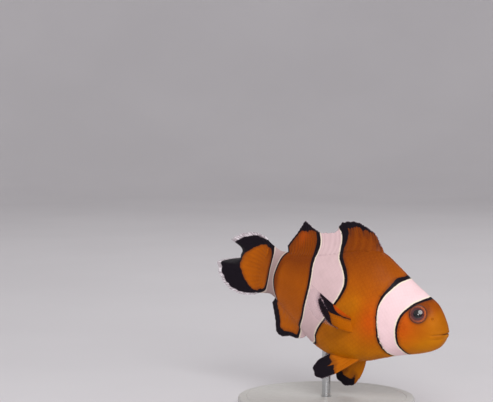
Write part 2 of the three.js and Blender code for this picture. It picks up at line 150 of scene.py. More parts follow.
# Each white bar's front and rear edge, as [height, distance back from the snout], and the width of the
# black line outside that edge, as [height, width].
HEAD_BAR = (
    ([[-8.7, 8.4], [-7.5, 9.6], [-6.1, 10.7], [-4.2, 11.3], [-2.1, 11.6], [0.2, 11.5], [2.4, 10.9],
      [4.1, 9.8], [5.6, 8.6], [7.1, 6.7]],
     [[-8, 0.4], [-4, 0.5], [1, 0.55], [4, 0.6], [7, 0.65]]),
    ([[-10.2, 11.5], [-9.4, 13.0], [-8.4, 14.2], [-6.5, 15.4], [-4.0, 16.1], [-0.3, 16.8], [2.9, 16.9],
      [5.3, 16.2], [7.3, 15.2], [9.3, 14.0], [10.5, 12.8]],
     [[-10.4, 0.0], [-9.4, 0.3], [-8, 0.4], [-2, 0.4], [4, 0.6], [8, 0.9], [10, 1.3]]),
)
MIDDLE_BAR = (
    ([[-14.1, 36.4], [-13.3, 35.0], [-11.1, 34.3], [-8.9, 33.4], [-5.6, 31.5], [-0.9, 29.3], [1.3, 28.3],
      [3.0, 27.8], [4.6, 27.6], [6.3, 28.0], [8.1, 29.3], [10.9, 32.8], [12.3, 34.0], [13.8, 34.3],
      [15.3, 34.7], [16.3, 35.2], [17.2, 36.0], [18.6, 37.6]],
     [[-13, 0.5], [-5, 0.5], [0, 0.6], [5, 0.9], [10, 1.0], [12.7, 1.2], [15, 1.7], [17, 2.0]]),
    ([[-15.0, 42.6], [-12.5, 41.7], [-8.2, 39.3], [-4.4, 38.7], [0.4, 38.4], [3.6, 38.9], [6.7, 40.1],
      [9.4, 41.1], [11.2, 41.2], [12.2, 41.4], [14.2, 42.5]],
     [[-14, 0.8], [-5, 0.75], [2, 0.85], [6, 1.0], [9, 1.3], [12, 1.45], [14, 1.2]]),
)
TAIL_BAR = (
    ([[-6.8, 52.6], [-3.6, 53.9], [-1.5, 54.2], [1.6, 53.8], [4.6, 53.4], [6.0, 52.9]],
     [[-6, 0.4], [0, 0.5], [5, 0.6]]),
    ([[-8.3, 61.6], [-7.4, 59.8], [-6.3, 58.2], [-5.0, 57.5], [-2.9, 56.9], [0.1, 56.8], [3.1, 57.1],
      [4.5, 57.6], [5.7, 58.6]],
     [[-7, 0.9], [-2, 0.7], [3, 0.8], [5, 1.2]]),
)
BARS = (HEAD_BAR, MIDDLE_BAR, TAIL_BAR)
FAR = 9.0  # a depth in millimetres that is well away from any edge
STALK_FROM = 56  # where the tail stalk's own black margin starts

# Round patches of tone on the flank, as [strength, u, half length, z, half height].
YELLOW_PATCHES = [[0.6, 28, 5.0, -3.0, 5.5], [0.6, 23.5, 3.0, 0.5, 3.5]]
RED_PATCHES = [[0.8, 18.3, 3.0, -2.0, 5.0], [0.7, 10.0, 2.5, -1.0, 4.5]]

# ---- curves and the bend ---------------------------------------------------------------------------


def smooth_curve(stations):
    """A smooth curve through [x, value] stations: cubic pieces whose slopes follow their neighbours."""
    knots = np.array(stations, float)
    x = knots[:, 0]
    value = knots[:, 1]
    step = np.diff(x)
    slope = np.diff(value) / step
    tangent = np.empty(len(x))
    tangent[0] = slope[0]
    tangent[-1] = slope[-1]
    tangent[1:-1] = (slope[:-1] * step[1:] + slope[1:] * step[:-1]) / (step[:-1] + step[1:])

    def curve(at):
        at = np.asarray(at, float)
        i = np.clip(np.searchsorted(x, at) - 1, 0, len(step) - 1)
        t = np.clip((at - x[i]) / step[i], 0, 1)
        rise = t * t * (3 - 2 * t)
        lean = t * (1 - t) * ((1 - t) * tangent[i] - t * tangent[i + 1])
        return value[i] + (value[i + 1] - value[i]) * rise + step[i] * lean

    return curve


def body_curve(stations):
    """A body outline, which runs along the square root of u so that the snout is round."""
    curve = smooth_curve([[math.sqrt(u), value] for u, value in stations])
    return lambda u: curve(np.sqrt(np.maximum(u, 0)))


def smooth_step(x, low, high):
    """0 below low, 1 above high and an even rise between."""
    t = np.clip((x - low) / (high - low), 0, 1)
    return t * t * (3 - 2 * t)


def fall(x, low, high):
    """1 below low, 0 above high and an even fall between."""
    return 1 - smooth_step(x, low, high)


def bump(x, width):
    """1 where x is 0, and falling off evenly over about the width."""
    return np.exp(-((x / width) ** 2))


def value_at(stations, at):
    """The value of the smooth curve through the stations."""
    return smooth_curve(stations)(at)


def back_and_up(points):
    """How far back from the snout points of the straight fish lie, and their height."""
    return -points[..., 0], points[..., 2]


back = body_curve(BACK)
belly = body_curve(BELLY)
half_width = body_curve(HALF_WIDTH)


def turn_at(u):
    """How far the spine has turned to the left at u."""
    tail = smooth_step(u, BEND_START, BEND_END) * TAIL_TURN
    return tail - smooth_step(u, BEND_END, FIN_STRAIGHT) * BACK_TURN


WALK_STEP = 0.25
WALK_COUNT = 240
SPINE_U = PIVOT_U + WALK_STEP * np.arange(-WALK_COUNT, WALK_COUNT + 1)


def walk_spine():
    """The spine's course in the horizontal plane, found by walking along it in short steps."""
    turn = turn_at(SPINE_U[:-1] + WALK_STEP / 2)
    x = np.concatenate([[0], np.cumsum(-np.cos(turn) * WALK_STEP)])
    y = np.concatenate([[0], np.cumsum(np.sin(turn) * WALK_STEP)])
    return x - x[WALK_COUNT], y - y[WALK_COUNT]


SPINE_X, SPINE_Y = walk_spine()


def bend(points):
    """Takes points of the straight fish to their places in the bent one."""
    u, z = back_and_up(points)
    y = points[..., 1]
    turn = turn_at(u)
    x = np.interp(u, SPINE_U, SPINE_X) + np.sin(turn) * y
    return np.stack([x, np.interp(u, SPINE_U, SPINE_Y) + np.cos(turn) * y, z], -1)


def tip_down(points):
    """Turns points of the bent fish so that its head points down."""
    x = points[..., 0] * math.cos(NOSE_DOWN) + points[..., 2] * math.sin(NOSE_DOWN)
    z = points[..., 2] * math.cos(NOSE_DOWN) - points[..., 0] * math.sin(NOSE_DOWN)
    return np.stack([x, points[..., 1], z], -1)


def find_fish_place():
    """Where the spine's pivot point stands, from the belly's seat on the rod and the rod's top."""
    entry = tip_down(bend(np.array([-ROD_U, 0.0, float(belly(ROD_U))])))
    rod_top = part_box("stand_rod")[1].z / MM
    return np.array([-entry[0], -entry[1], rod_top - entry[2] - ROD_SEAT + GAP])


FISH_PLACE = find_fish_place()


def to_model(points):
    """Points of the straight fish, in millimetres, at their places in the model, in metres."""
    return (tip_down(bend(points)) + FISH_PLACE) * MM


# ---- the body's surface ----------------------------------------------------------------------------


def middle_and_depth(u):
    """The height of the body's middle at u, and half its depth from back to belly."""
    return (back(u) + belly(u)) / 2, (back(u) - belly(u)) / 2


def height_share(u, z):
    """How high on the flank a point lies, from 0 at the belly to 1 at the back."""
    return (z - belly(u)) / np.maximum(back(u) - belly(u), 1)


def body_point(u, angle):
    """Points of the straight body's surface. Angle 0 is its right side and a quarter turn its back."""
    side = np.cos(angle)
    taper = np.where(np.sin(angle) > 0, UPPER_TAPER, 1.0)
    y = -half_width(u) * np.sign(side) * np.abs(side) ** taper
    middle, depth = middle_and_depth(u)
    return np.stack(np.broadcast_arrays(-u, y, middle + depth * np.sin(angle)), -1)


def unit(vectors):
    """The vectors at length 1."""
    return vectors / np.maximum(np.linalg.norm(vectors, axis=-1, keepdims=True), 1e-12)


def body_normal(u, angle):
    """The outward direction of the body's surface."""
    reach = 0.01 + 0.002 * u
    along = body_point(u + reach, angle) - body_point(np.maximum(u - reach, 0), angle)
    around = body_point(u, angle + 0.01) - body_point(u, angle - 0.01)
    normal = unit(np.cross(around, along))
    return np.where((u < 1e-6)[..., None], np.array([1.0, 0.0, 0.0]), normal)


def flank_angle(u, z):
    """The angle on the right side of the body at u and height z."""
    middle, depth = middle_and_depth(u)
    return np.arcsin(np.clip((z - middle) / depth, -1, 1))


def eye_axis():
    """The middle of the right eye's ball and its outward direction, on the straight fish."""
    u = np.array(EYE_U)
    angle = flank_angle(u, EYE_Z)
    out = body_normal(u, angle)
    return body_point(u, angle) + out * (EYE_BULGE - EYE_HALF_DEPTH), out


def from_eye(points):
    """How far points lie from the axis of the eye on their own side."""
    middle, out = eye_axis()
    right = np.stack([points[..., 0], -np.abs(points[..., 1]), points[..., 2]], -1)
    offset = right - middle
    return np.linalg.norm(offset - (offset @ out)[..., None] * out, axis=-1)


GILL_EDGE = np.array([[14.5, 13.0], [21.0, 1.5], [12.0, -12.0]])  # top, pull and foot of its curve, as [u, z]


def gill_edge_u(z):
    """How far back the gill cover's rear edge lies at height z."""
    top, pull, foot = GILL_EDGE
    t = np.linspace(0, 1, 60)[:, None]
    edge = (1 - t) ** 2 * top + 2 * t * (1 - t) * pull + t**2 * foot
    return np.interp(z, edge[::-1, 1], edge[::-1, 0])


MOUTH_CORNER_U = 3.2
MOUTH_Z = -0.45
MOUTH_DROP = 0.34  # how steeply the mouth's line falls towards its corner
NOSTRIL = (3.5, 2.7)  # [u, z]
NARROW_SIDE = (0.6, 1.4)  # distances from the middle line between which the flank's relief sets in
COVER_INNER_EDGE = [[-7.6, 6.5], [-6.6, 9.0], [-4.5, 10.3], [-1.0, 10.7], [2.0, 10.2]]  # as [z, u]

# Ridges and grooves of the head, as [height, place, breadth]: the mouth's line, and the lips and a fold,
# placed above it; the nostril and the orbit's rim, placed from their middles; the gill cover's inner edge.
MOUTH_GROOVE = [[-0.24, 0, 0.13]]
LIP_RIDGES = [[0.07, 0.45, 0.35], [0.12, -0.6, 0.5], [-0.05, -1.35, 0.22]]
NOSTRIL_RIDGES = [[0.12, 0.42, 0.16], [-0.3, 0, 0.22]]
ORBIT_RIDGES = [[0.06, 2.45, 0.3]]
COVER_RIDGES = [[0.1, -0.3, 0.45], [-0.16, 0.1, 0.2]]
ORBIT_DEPTH = 1.1
GILL_STEP = 0.2
GILL_GROOVE = 0.22
CHEEK = (8.2, -3.2, 2.6, 0.14)  # u, z, breadth and height of the cheek's swelling


def ridges(table, at):
    """The height of round ridges, given as [height, place, breadth]."""
    return sum(height * bump(at - place, breadth) for height, place, breadth in table)


def over_mouth(u, z):
    """How far above the mouth's line points lie."""
    return z - (MOUTH_Z - MOUTH_DROP * u)


def from_nostril(u, z):
    """How far points lie from the nostril's middle."""
    return np.hypot(u - NOSTRIL[0], z - NOSTRIL[1])


def on_side(points):
    """1 on the flanks, and 0 close to the middle line."""
    return smooth_step(np.abs(points[..., 1]), *NARROW_SIDE)


def mouth_relief(u, z):
    """The line of the mouth and the lips above and below it."""
    above = over_mouth(u, z)
    line = ridges(MOUTH_GROOVE, above) * (1 - 0.6 * smooth_step(u, 0.5, 1.6))
    return (line + ridges(LIP_RIDGES, above)) * fall(u, MOUTH_CORNER_U - 0.5, MOUTH_CORNER_U + 0.4)


def gill_relief(u, z):
    """The gill cover's rear edge, standing over the shoulder, and the cover's inner edge."""
    behind = u - gill_edge_u(z)
    tall = smooth_step(z, -11.0, -8.5) * fall(z, 5.0, 8.0)
    cover = smooth_step(behind, -3.0, -0.3) * fall(behind, -0.05, 0.16)
    rear_edge = GILL_STEP * cover - GILL_GROOVE * bump(behind - 0.22, 0.2)
    inner_tall = smooth_step(z, -7.6, -6.4) * fall(z, 0.8, 2.4)
    return rear_edge * tall + ridges(COVER_RIDGES, u - value_at(COVER_INNER_EDGE, z)) * inner_tall


def relief(points):
    """How far the skin stands out from the plain body at points of the straight fish."""
    u, z = back_and_up(points)
    eye = from_eye(points)
    orbit = ridges(ORBIT_RIDGES, eye) - ORBIT_DEPTH * fall(eye, 1.7, 2.14)
    cheek_u, cheek_z, breadth, height = CHEEK
    cheek = height * bump(np.hypot(u - cheek_u, z - cheek_z), breadth)
    flank = ridges(NOSTRIL_RIDGES, from_nostril(u, z)) + cheek + gill_relief(u, z)
    return orbit + mouth_relief(u, z) + flank * on_side(points)


# ---- the markings ----------------------------------------------------------------------------------


def edge_depth(edge, u, z):
    """How far behind a bar's edge a point lies, measured across the edge."""
    curve = smooth_curve(edge)
    lean = (curve(z + 0.1) - curve(z - 0.1)) / 0.2
    return (u - curve(z)) / np.sqrt(1 + lean**2)


def bar_fields(u, z):
    """The depth inside the white bars, negative outside them, and the width of the nearest black line."""
    white = np.full(u.shape, -FAR)
    line = np.full(u.shape, 0.5)
    nearest = np.full(u.shape, FAR)
    for (front, front_line), (rear, rear_line) in BARS:
        behind_front = edge_depth(front, u, z)
        before_rear = -edge_depth(rear, u, z)
        white = np.maximum(white, np.minimum(behind_front, before_rear))
        for depth, widths in ((behind_front, front_line), (before_rear, rear_line)):
            line = np.where(np.abs(depth) < nearest, value_at(widths, z), line)
            nearest = np.minimum(nearest, np.abs(depth))
    return white, line


def patches(table, u, z):
    """The strength of round patches of tone, given as [strength, u, half length, z, half height]."""
    total = 0
    for strength, at_u, half_length, at_z, half_height in table:
        total = total + strength * bump(u - at_u, half_length) * bump(z - at_z, half_height)
    return total


def tone_fields(u, z):
    """Weights of the deep tone of the back and tail, the yellow tone below and the red tone by the gills. The
    deep tone is partly the fish's own darker back and partly painted shade towards the tail. It is kept off
    the low flank as painted light against the shade there.
    """
    height = height_share(u, z)
    # painted light: the low flank is kept free of the deep tone, so it is lighter against the shade that
    # falls there
    upper = 0.15 * smooth_step(height, 0.05, 0.4)
    ridge = 0.7 * smooth_step(height, 0.55, 1.0) * smooth_step(u, 10, 22)
    # darker towards the tail: partly the fish's own colour and partly painted shade
    rear = 0.27 * smooth_step(u, 20, 40) * smooth_step(height, -0.15, 0.5)
    # painted shade about the tail bar
    stalk = 1.1 * smooth_step(u, 51, 54) * fall(u, 57, 59)
    lips = 0.9 * bump(u, 2.5)
    round_eye = 0.5 * bump(np.hypot(u - EYE_U, z - EYE_Z) - 2.3, 0.6)
    crown = 0.9 * bump(u - 6.0, 3.4) * smooth_step(height, 0.65, 1.0)
    deep = upper + ridge + rear + stalk + lips + round_eye + 0.8 * crown
    belly_side = 0.9 * fall(height, 0.05, 0.45) * fall(u, 30, 42)
    snout = 0.7 * fall(u, 2.0, 7.5)
    yellow = belly_side + snout + patches(YELLOW_PATCHES, u, z) - crown
    red = patches(RED_PATCHES, u, z)
    return np.stack([np.clip(deep, 0, 1.6), np.clip(yellow, 0, 1), np.clip(red, 0, 1)], -1)


def bar_shade(u, z):
    """Painted shade on the white of the bars, darker and warmer: more so low on the flank and behind the back
    fin.
    """
    height = height_share(u, z)
    rear = 0.3 * smooth_step(u, 20, 32)
    low = 0.12 * bump(u - 35.5, 4.0) * fall(height, 0.15, 0.45)
    behind = 0.7 * smooth_step(u, 46, 51) * (1 - 0.25 * smooth_step(height, 0.5, 1.0))
    return rear + low + behind


ZERO_FIELDS = ("fringe", "stem", "lip", "ragged", "smoke", "haze")  # 0 unless a part sets them


def plain_fields(points):
    """The marking fields of skin or scales at points of the straight fish.

    white is the depth inside a bar, line the width of the black line outside it, tone and shade the tones of
    the orange and the white, which partly carry painted shade, margin the depth inside a black margin, rim
    the way to a fin's free edge and fringe the width of the clear fringe there. ray is the place on a fin,
    stem its rays, ragged how far its markings' edges stray and smoke the dusk in front of its margin. One
    more field marks the pectoral fin's clear web, darkened by painted shadow where it leaves the black.
    Another holds the dark lines of the head: painted shade in the mouth's line and the nostrils, and the
    eye's dark rim with painted shade in the hollow round it.
    """
    u, z = back_and_up(points)
    white, line = bar_fields(u, z)
    fields = {"white": white, "line": line, "tone": tone_fields(u, z), "shade": bar_shade(u, z)}
    to_edge = np.minimum(back(u) - z, z - belly(u))
    band = 0.8 + 0.5 * smooth_step(u, 58, 61) * smooth_step(z, 0, 3)
    fields["margin"] = np.where(u > STALK_FROM, np.minimum(band - to_edge, -white), -FAR)
    fields["rim"] = np.full(u.shape, FAR)
    fields["ray"] = np.zeros(u.shape + (3,))
    fields.update({name: np.zeros(u.shape) for name in ZERO_FIELDS})
    return fields


# ---- meshes and nodes ------------------------------------------------------------------------------


def grid_quads(rows, columns):
    """The quads of a grid whose columns close, as vertex numbers and as unwrapped [row, column] corners."""
    row, column = np.meshgrid(np.arange(rows - 1), np.arange(columns), indexing="ij")
    steps = ((0, 0), (0, 1), (1, 1), (1, 0))
    corners = np.stack([np.stack([row + a, column + b], -1) for a, b in steps], -2).reshape(-1, 4, 2)
    return corners[..., 0] * columns + corners[..., 1] % columns, corners


def enclosed(points, quads):
    """Six times the volume that the quads enclose, positive where they face outwards."""
    a, b, c, d = (points[quads[:, k]] for k in range(4))
    return ((np.cross(b, c) + np.cross(c, d)) * a).sum()


def make_mesh(name, points, faces, corner_uv, fields):
    """A mesh object of quads, with its own unwrap and its marking fields as attributes."""
    mesh = bpy.data.meshes.new(name)
    mesh.vertices.add(len(points))
    mesh.vertices.foreach_set("co", points.astype(np.float32).ravel())
    mesh.loops.add(faces.size)
    mesh.loops.foreach_set("vertex_index", faces.astype(np.int32).ravel())
    mesh.polygons.add(len(faces))
    mesh.polygons.foreach_set("loop_start", np.arange(0, faces.size, 4, dtype=np.int32))
    mesh.update(calc_edges=True)
    write_uv(mesh, corner_uv)
    write_fields(mesh, fields)
    mesh.validate()
    return add_object(name, mesh)


def put_in_scene(name, data):
    """A new object of some data, linked to the scene."""
    thing = bpy.data.objects.new(name, data)
    bpy.context.scene.collection.objects.link(thing)
    return thing


def add_object(name, mesh):
    """An object of the mesh, linked to the scene and shaded smooth."""
    mesh.shade_smooth()
    return put_in_scene(name, mesh)


def write_uv(mesh, corner_uv):
    """Gives a mesh the unwrap that its colours are kept on."""
    layer = mesh.uv_layers.new(name="OFBake")
    layer.uv.foreach_set("vector", corner_uv.astype(np.float32).ravel())


def write_fields(mesh, fields):
    """Writes each field to the mesh as an attribute of its points."""
    for name, values in fields.items():
        kind, key = ("FLOAT_VECTOR", "vector") if values.ndim > 1 else ("FLOAT", "value")
        attribute = mesh.attributes.new(name, kind, "POINT")
        attribute.data.foreach_set(key, values.astype(np.float32).ravel())


def paint(piece, material):
    """Gives a piece one material."""
    piece.data.materials.clear()
    piece.data.materials.append(material)


def add_node(tree, kind, **options):
    """Adds a node with its options set."""
    node = tree.nodes.new(kind)
    for name, value in options.items():
        setattr(node, name, value)
    return node


def join(tree, *pairs):
    """Links pairs of sockets."""
    for start, end in pairs:
        tree.links.new(start, end)


def add_socket(tree, name, kind, value=None, low=None, high=None, way="INPUT"):
    """Adds a named socket to a node tree and returns its identifier."""
    socket = tree.interface.new_socket(name=name, in_out=way, socket_type="NodeSocket" + kind)
    if value is not None:
        socket.default_value = value
        socket.min_value = low
        socket.max_value = high
    return socket.identifier


# ---- the body's skin -------------------------------------------------------------------------------

BODY_CHART = (0.0, 0.4, 1.0, 1.0)  # where the body lies on the unwrap: left, bottom, right, top
CAP_PATCH = 0.001  # the size on the unwrap of the faces that close the ends


def into_chart(chart, across, up):
    """Moves unwrap positions from 0..1 to a chart."""
    left, bottom, right, top = chart
    return np.stack([left + (right - left) * across, bottom + (top - bottom) * up], -1)


def ring_u(share):
    """How far back the skin's ring at a share of the way lies; rings are closer towards the snout."""
    return share**2 * SKIN_END


def make_body_part(rings, around, depth):
    """The body's skin as one closed grid with its marking fields."""
    turn = np.linspace(0, 2 * math.pi, around, endpoint=False) - math.pi / 2
    u, angle = np.meshgrid(ring_u(np.linspace(0, 1, rings)), turn, indexing="ij")
    points = body_point(u, angle)
    height = relief(points) - depth * smooth_step(u, 0.0, 2.0)
    points = points + body_normal(u, angle) * height[..., None]
    quads, corners = grid_quads(rings, around)
    uv = into_chart(BODY_CHART, corners[..., 0] / (rings - 1), corners[..., 1] / around)
    fields = plain_fields(points)
    # painted shade in the mouth's line, the nostrils and the hollow round the eye, with the eye's dark rim
    fields["lip"] = mouth_shadow(points)
    return close_ends({"points": points, "quads": quads, "uv": uv, "fields": fields}, rings, around)


def mouth_shadow(points):
    """How dark the painted shade in the mouth's line and the nostrils' pits is, and the eye's dark rim with
    painted shade in the hollow round it.
    """
    u, z = back_and_up(points)
    front = 1 - 0.75 * smooth_step(u, 0.3, 1.0)
    mouth = bump(over_mouth(u, z), 0.15) * fall(u, MOUTH_CORNER_U - 1.0, MOUTH_CORNER_U + 0.2) * front
    pit = bump(from_nostril(u, z), 0.26) * on_side(points)
    socket = fall(from_eye(points), 2.2, 2.75)
    return np.clip(0.9 * mouth + 0.3 * pit + 0.6 * socket, 0, 1)


def close_ends(part, rings, around):
    """Closes the body's grid with a strip of quads at the snout and at the tail."""
    k = np.arange(around // 2 - 1)
    strip = np.stack([k, k + 1, around - 2 - k, around - 1 - k], -1)
    part["quads"] = np.concatenate([part["quads"], strip[:, ::-1], (rings - 1) * around + strip])
    corner = CAP_PATCH * np.array([[0, 0], [0, 1], [1, 1], [1, 0]])
    part["uv"] = np.concatenate([part["uv"], np.tile(corner, (2 * len(strip), 1, 1))])
    return one_row_each(part)


def one_row_each(part):
    """The part with its grids of points and fields as one row per point."""
    part["points"] = part["points"].reshape(-1, 3)
    fields = part["fields"].items()
    part["fields"] = {name: values.reshape((-1,) + values.shape[2:]) for name, values in fields}
    return part


# ---- fins ------------------------------------------------------------------------------------------


def column_curves(rows, places):
    """Smooth curves through each column of the rows, placed along the fin."""
    return [smooth_curve(np.column_stack([places, column])) for column in zip(*rows)]


def arch(reach):
    """A bow along a ray: 1 midway, 0 at both ends and running on straight below the root."""
    return np.where(reach > 0, 4 * reach * (1 - reach), 4 * reach)[..., None]


def median_blade(rows, places, edge, inset, bow):
    """The middle surface of a fin on the middle line: rays from the body's edge to the tips."""
    root_u, tip_u, tip_z = column_curves(rows, places)

    def blade(ray, reach):
        root = np.stack([-root_u(ray), 0 * ray, edge(root_u(ray)) - inset], -1)
        way = np.stack([-tip_u(ray), 0 * ray, tip_z(ray)], -1) - root
        lift = np.stack([way[..., 2], 0 * ray, -way[..., 0]], -1)
        return root + way * reach[..., None] + lift * arch(reach) * bow

    return blade


def spline(points):
    """A smooth curve through points, evenly placed from 0 to 1, each piece led by its neighbours."""
    knots = np.array(points, float)
    ends = np.vstack([2 * knots[0] - knots[1], knots, 2 * knots[-1] - knots[-2]])

    def curve(at):
        place = np.clip(at, 0, 1) * (len(knots) - 1)
        i = np.clip(place.astype(int), 0, len(knots) - 2)
        t = (place - i)[..., None]
        p0, p1, p2, p3 = (ends[i + k] for k in range(4))
        v0 = (p2 - p0) / 2
        v1 = (p3 - p1) / 2
        return (2 * p1 - 2 * p2 + v0 + v1) * t**3 + (3 * p2 - 3 * p1 - 2 * v0 - v1) * t**2 + v0 * t + p1

    return curve


caudal_edge = spline(CAUDAL_MARGIN)


def caudal_blade(ray, reach):
    """The middle surface of the tail fin: a fan whose middle rays curl away to the left."""
    share = ray / (CAUDAL_LOOK["rays"] - 1)
    root_z = CAUDAL_MIDDLE + (2 * share - 1) * CAUDAL_HALF_HEIGHT
    root = np.stack([CAUDAL_ROOT_U + 0 * share, root_z], -1)
    way = caudal_edge(share) - root
    curl = np.maximum(CURL * smooth_step(share, *CURL_RISE) * fall(share, *CURL_FALL), 1e-3)
    bent = np.maximum(reach - CURL_START, 0) / (1 - CURL_START)
    arc = (1 - CURL_START) / curl
    forward = np.where(bent > 0, CURL_START + arc * np.sin(curl * bent), reach)
    sideways = np.linalg.norm(way, axis=-1) * arc * (1 - np.cos(curl * bent))
    at = root + way * forward[..., None]
    return np.stack([-at[..., 0], sideways, at[..., 1]], -1)


def paired_blade(look, left):
    """The middle surface of a paired fin: rays from a root line to a margin, on either side."""
    edge = spline(look["margin"])
    start, end = np.array(look["root_line"])
    side = np.array([-1.0, -1.0 if left else 1.0, 1.0])

    def blade(ray, reach):
        share = ray / (look["rays"] - 1)
        root = start + (end - start) * share[..., None]
        return (root + (edge(share) - root) * reach[..., None] + np.array(look["bow"]) * arch(reach)) * side

    return blade


def stem_shape(ray):
    """1 on a ray and 0 midway between two rays."""
    return np.cos(math.pi * (ray - np.round(ray))) ** 3


def ray_columns(rays, per_ray):
    """Where a fin's columns stand, with more of them close to its first and last ray."""
    even = np.linspace(0, rays - 1, (rays - 1) * per_ray + 1)
    return np.concatenate([[0, 0.03], even[1:-1], [rays - 1.03, rays - 1]])


def fin_reach(steps, root):
    """How far along the rays a fin's rows lie, from inside the body to the margin."""
    even = np.linspace(0, 1, steps)
    return root + (1 - root) * (1 - (1 - even) ** 1.15)


def grown_reach(blade, ray, reach, look):
    """How far the rays reach: notched between them, uneven at their tips and sunk into the body."""
    wobble = np.random.default_rng(look["seed"]).uniform(-1, 1, look["rays"] + 1)
    uneven = 1 + UNEVEN * np.interp(ray, np.arange(look["rays"] + 1), wobble)
    notch = 1 - np.interp(ray, *np.transpose(look["notch"])) * (1 - np.sqrt(stem_shape(ray)))
    first = ray[:, :1]
    span = np.linalg.norm(blade(first, 1 + 0 * first) - blade(first, 0 * first), axis=-1)
    sunk = np.minimum(look["sunk"] / span, 0.5)
    return np.where(reach < 0, reach / -look["root"] * sunk, reach * notch * uneven)


def blade_normal(blade, ray, reach, last):
    """The direction across a fin's middle surface."""
    along = blade(ray, reach + 0.02) - blade(ray, reach - 0.02)
    across = blade(np.minimum(ray + 0.05, last), reach) - blade(np.maximum(ray - 0.05, 0), reach)
    return unit(np.cross(along, across))


def make_fin_part(blade, look, foot=None):
    """A fin as one closed grid: each column runs up one side of the blade and down the other."""
    column = ray_columns(look["rays"], look["per_ray"])
    ray, reach = np.meshgrid(column, fin_reach(look["rows"], look["root"]), indexing="ij")
    reach = grown_reach(blade, ray, reach, look)
    middle = blade(ray, reach)
    length = np.linalg.norm(np.diff(middle, axis=1), axis=-1).sum(1)[:, None]
    fin = SimpleNamespace(ray=ray, reach=reach, middle=middle, length=length, look=look)
    half = fin_half_thickness(fin)
    if foot is not None:
        above = reach * length + FOOT_DEPTH - ROOT_INSET
        half = half + foot(ray) * np.where(above > 0, np.exp(-above / FOOT_SPREAD), 1 + 1.2 * above)
    out = blade_normal(blade, ray, reach, look["rays"] - 1) * half[..., None]
    fields = fin_fields(fin)
    look["mark"](fields, fin)
    fields = {name: np.concatenate([value, value[:, ::-1]], 1) for name, value in fields.items()}
    return close_fin(np.concatenate([middle + out, (middle - out)[:, ::-1]], 1), fields, look["chart"])


def fin_half_thickness(fin):
    """Half a fin's thickness: thicker on its rays and at its root, and thin at every free edge."""
    look = fin.look
    web = look["web"] * (1 - 0.5 * fin.reach)
    spine = (look["spine"] - look["web"]) * stem_shape(fin.ray) * (1 - 0.35 * fin.reach)
    flare = look["flare"] * np.exp(-np.maximum(fin.reach, 0) * fin.length / look["flare_reach"])
    to_end = np.minimum(fin.ray, look["rays"] - 1 - fin.ray)
    edge = 0.3 + 0.7 * smooth_step(to_end, 0, 0.12)
    tip = 0.35 + 0.65 * smooth_step((1 - fin.reach) * fin.length, 0, 0.35)
    return (web + spine) / 2 * edge * tip + flare / 2 * (0.4 + 0.6 * smooth_step(to_end, 0, 0.5))


def fin_foot(rows, places, taper):
    """How much thicker a fin is at its foot, so that it leaves the body's surface smoothly."""
    root_u = column_curves(rows, places)[0]
    last = places[-1]

    def foot(ray):
        u = root_u(ray)
        tall = (back(u) - belly(u)) / 2
        breadth = half_width(u) * (1 - (1 - FOOT_DEPTH / tall) ** 2) ** (taper / 2)
        return (breadth - 0.22) * (0.2 + 0.8 * smooth_step(np.minimum(ray, last - ray), 0, 2.0))

    return foot


def close_fin(sides, fields, chart):
    """Closes a fin's grid along its first and last ray, facing outwards."""
    columns, around = sides.shape[:2]
    quads, corners = grid_quads(columns, around)
    uv = np.stack([0.02 + 0.96 * corners[..., 0] / (columns - 1), corners[..., 1]], -1)
    quads = [quads]
    uv = [uv]
    j = np.arange(around // 2 - 1)
    for start, near, far, way in ((0, 0.02, 0.0, 1), ((columns - 1) * around, 0.98, 1.0, -1)):
        other = around - 1 - j
        quads.append(start + np.stack([j, other, other - 1, j + 1], -1)[:, ::way])
        across = np.tile([near, far, far, near], (len(j), 1))
        uv.append(np.stack([across, np.stack([j, j, j + 1, j + 1], -1)], -1)[:, ::way])
    quads = np.concatenate(quads)
    uv = np.concatenate(uv)
    uv = into_chart(chart, uv[..., 0], (uv[..., 1] + 0.5) / (around + 0.5))
    way = 1 if enclosed(sides.reshape(-1, 3), quads) > 0 else -1
    return one_row_each({"points": sides, "quads": quads[:, ::way], "uv": uv[:, ::way], "fields": fields})


def fin_fields(fin):
    """The fields that all fins start from: the flank's markings, their margin and the course of the rays."""
    fields = plain_fields(fin.middle)
    fields["stem"] = stem_shape(fin.ray)
    fields["rim"] = from_line(fin.middle, fin.middle[:, -1])
    fields["ray"] = np.stack([fin.ray + fin.look["seed"] * 40, fin.reach * fin.length, 0 * fin.ray], -1)
    fields["ragged"] = fin.look["ragged"] + 0 * fin.ray
    fields["fringe"] = fin.look["fringe"] + 0 * fin.ray
    return fields


def from_line(points, line):
    """How far points lie from a line through other points."""
    nearest = np.full(points.shape[:-1], FAR)
    for start, end in zip(line, line[1:]):
        way = end - start
        share = np.clip(((points - start) @ way) / max(way @ way, 1e-9), 0, 1)
        offset = points - start - share[..., None] * way
        nearest = np.minimum(nearest, np.linalg.norm(offset, axis=-1))
    return nearest


def mark_dorsal(fields, fin):
    """Marks the back fin: bars cross it, and its margin is black except where the middle bar meets it."""
    ray = fin.ray
    fields["white"] = np.where(ray > 18, -FAR, fields["white"])
    edge = np.minimum(fields["rim"], from_line(fin.middle, fin.middle[-1]) + 0.2)
    fields["margin"] = np.minimum(value_at(DORSAL_BLACK, ray) - edge, -fields["white"])
    fields["tone"][..., 0] = np.clip(fields["tone"][..., 0] + 0.15, 0, 1.2)
    fields["tone"][..., 2] = 0.6 * bump(ray - 19, 2.5) * bump(fields["rim"] - 2.2, 1.5)
    fields["ragged"] = fields["ragged"] - 0.6 * smooth_step(ray, 8, 12)
    fields["smoke"] = 1 - 0.75 * smooth_step(ray, 9, 13)


def mark_anal(fields, fin):
    """Marks the anal fin: a black margin behind its front, and the middle bar's end on its front rays."""
    edge = np.minimum(fields["rim"], from_line(fin.middle, fin.middle[-1]) + 0.3)
    fields["margin"] = value_at(ANAL_BLACK, fin.ray) - edge
    fields["white"] = np.where(fin.ray > 6, -FAR, fields["white"])
    fields["tone"][..., 0] = 0.1


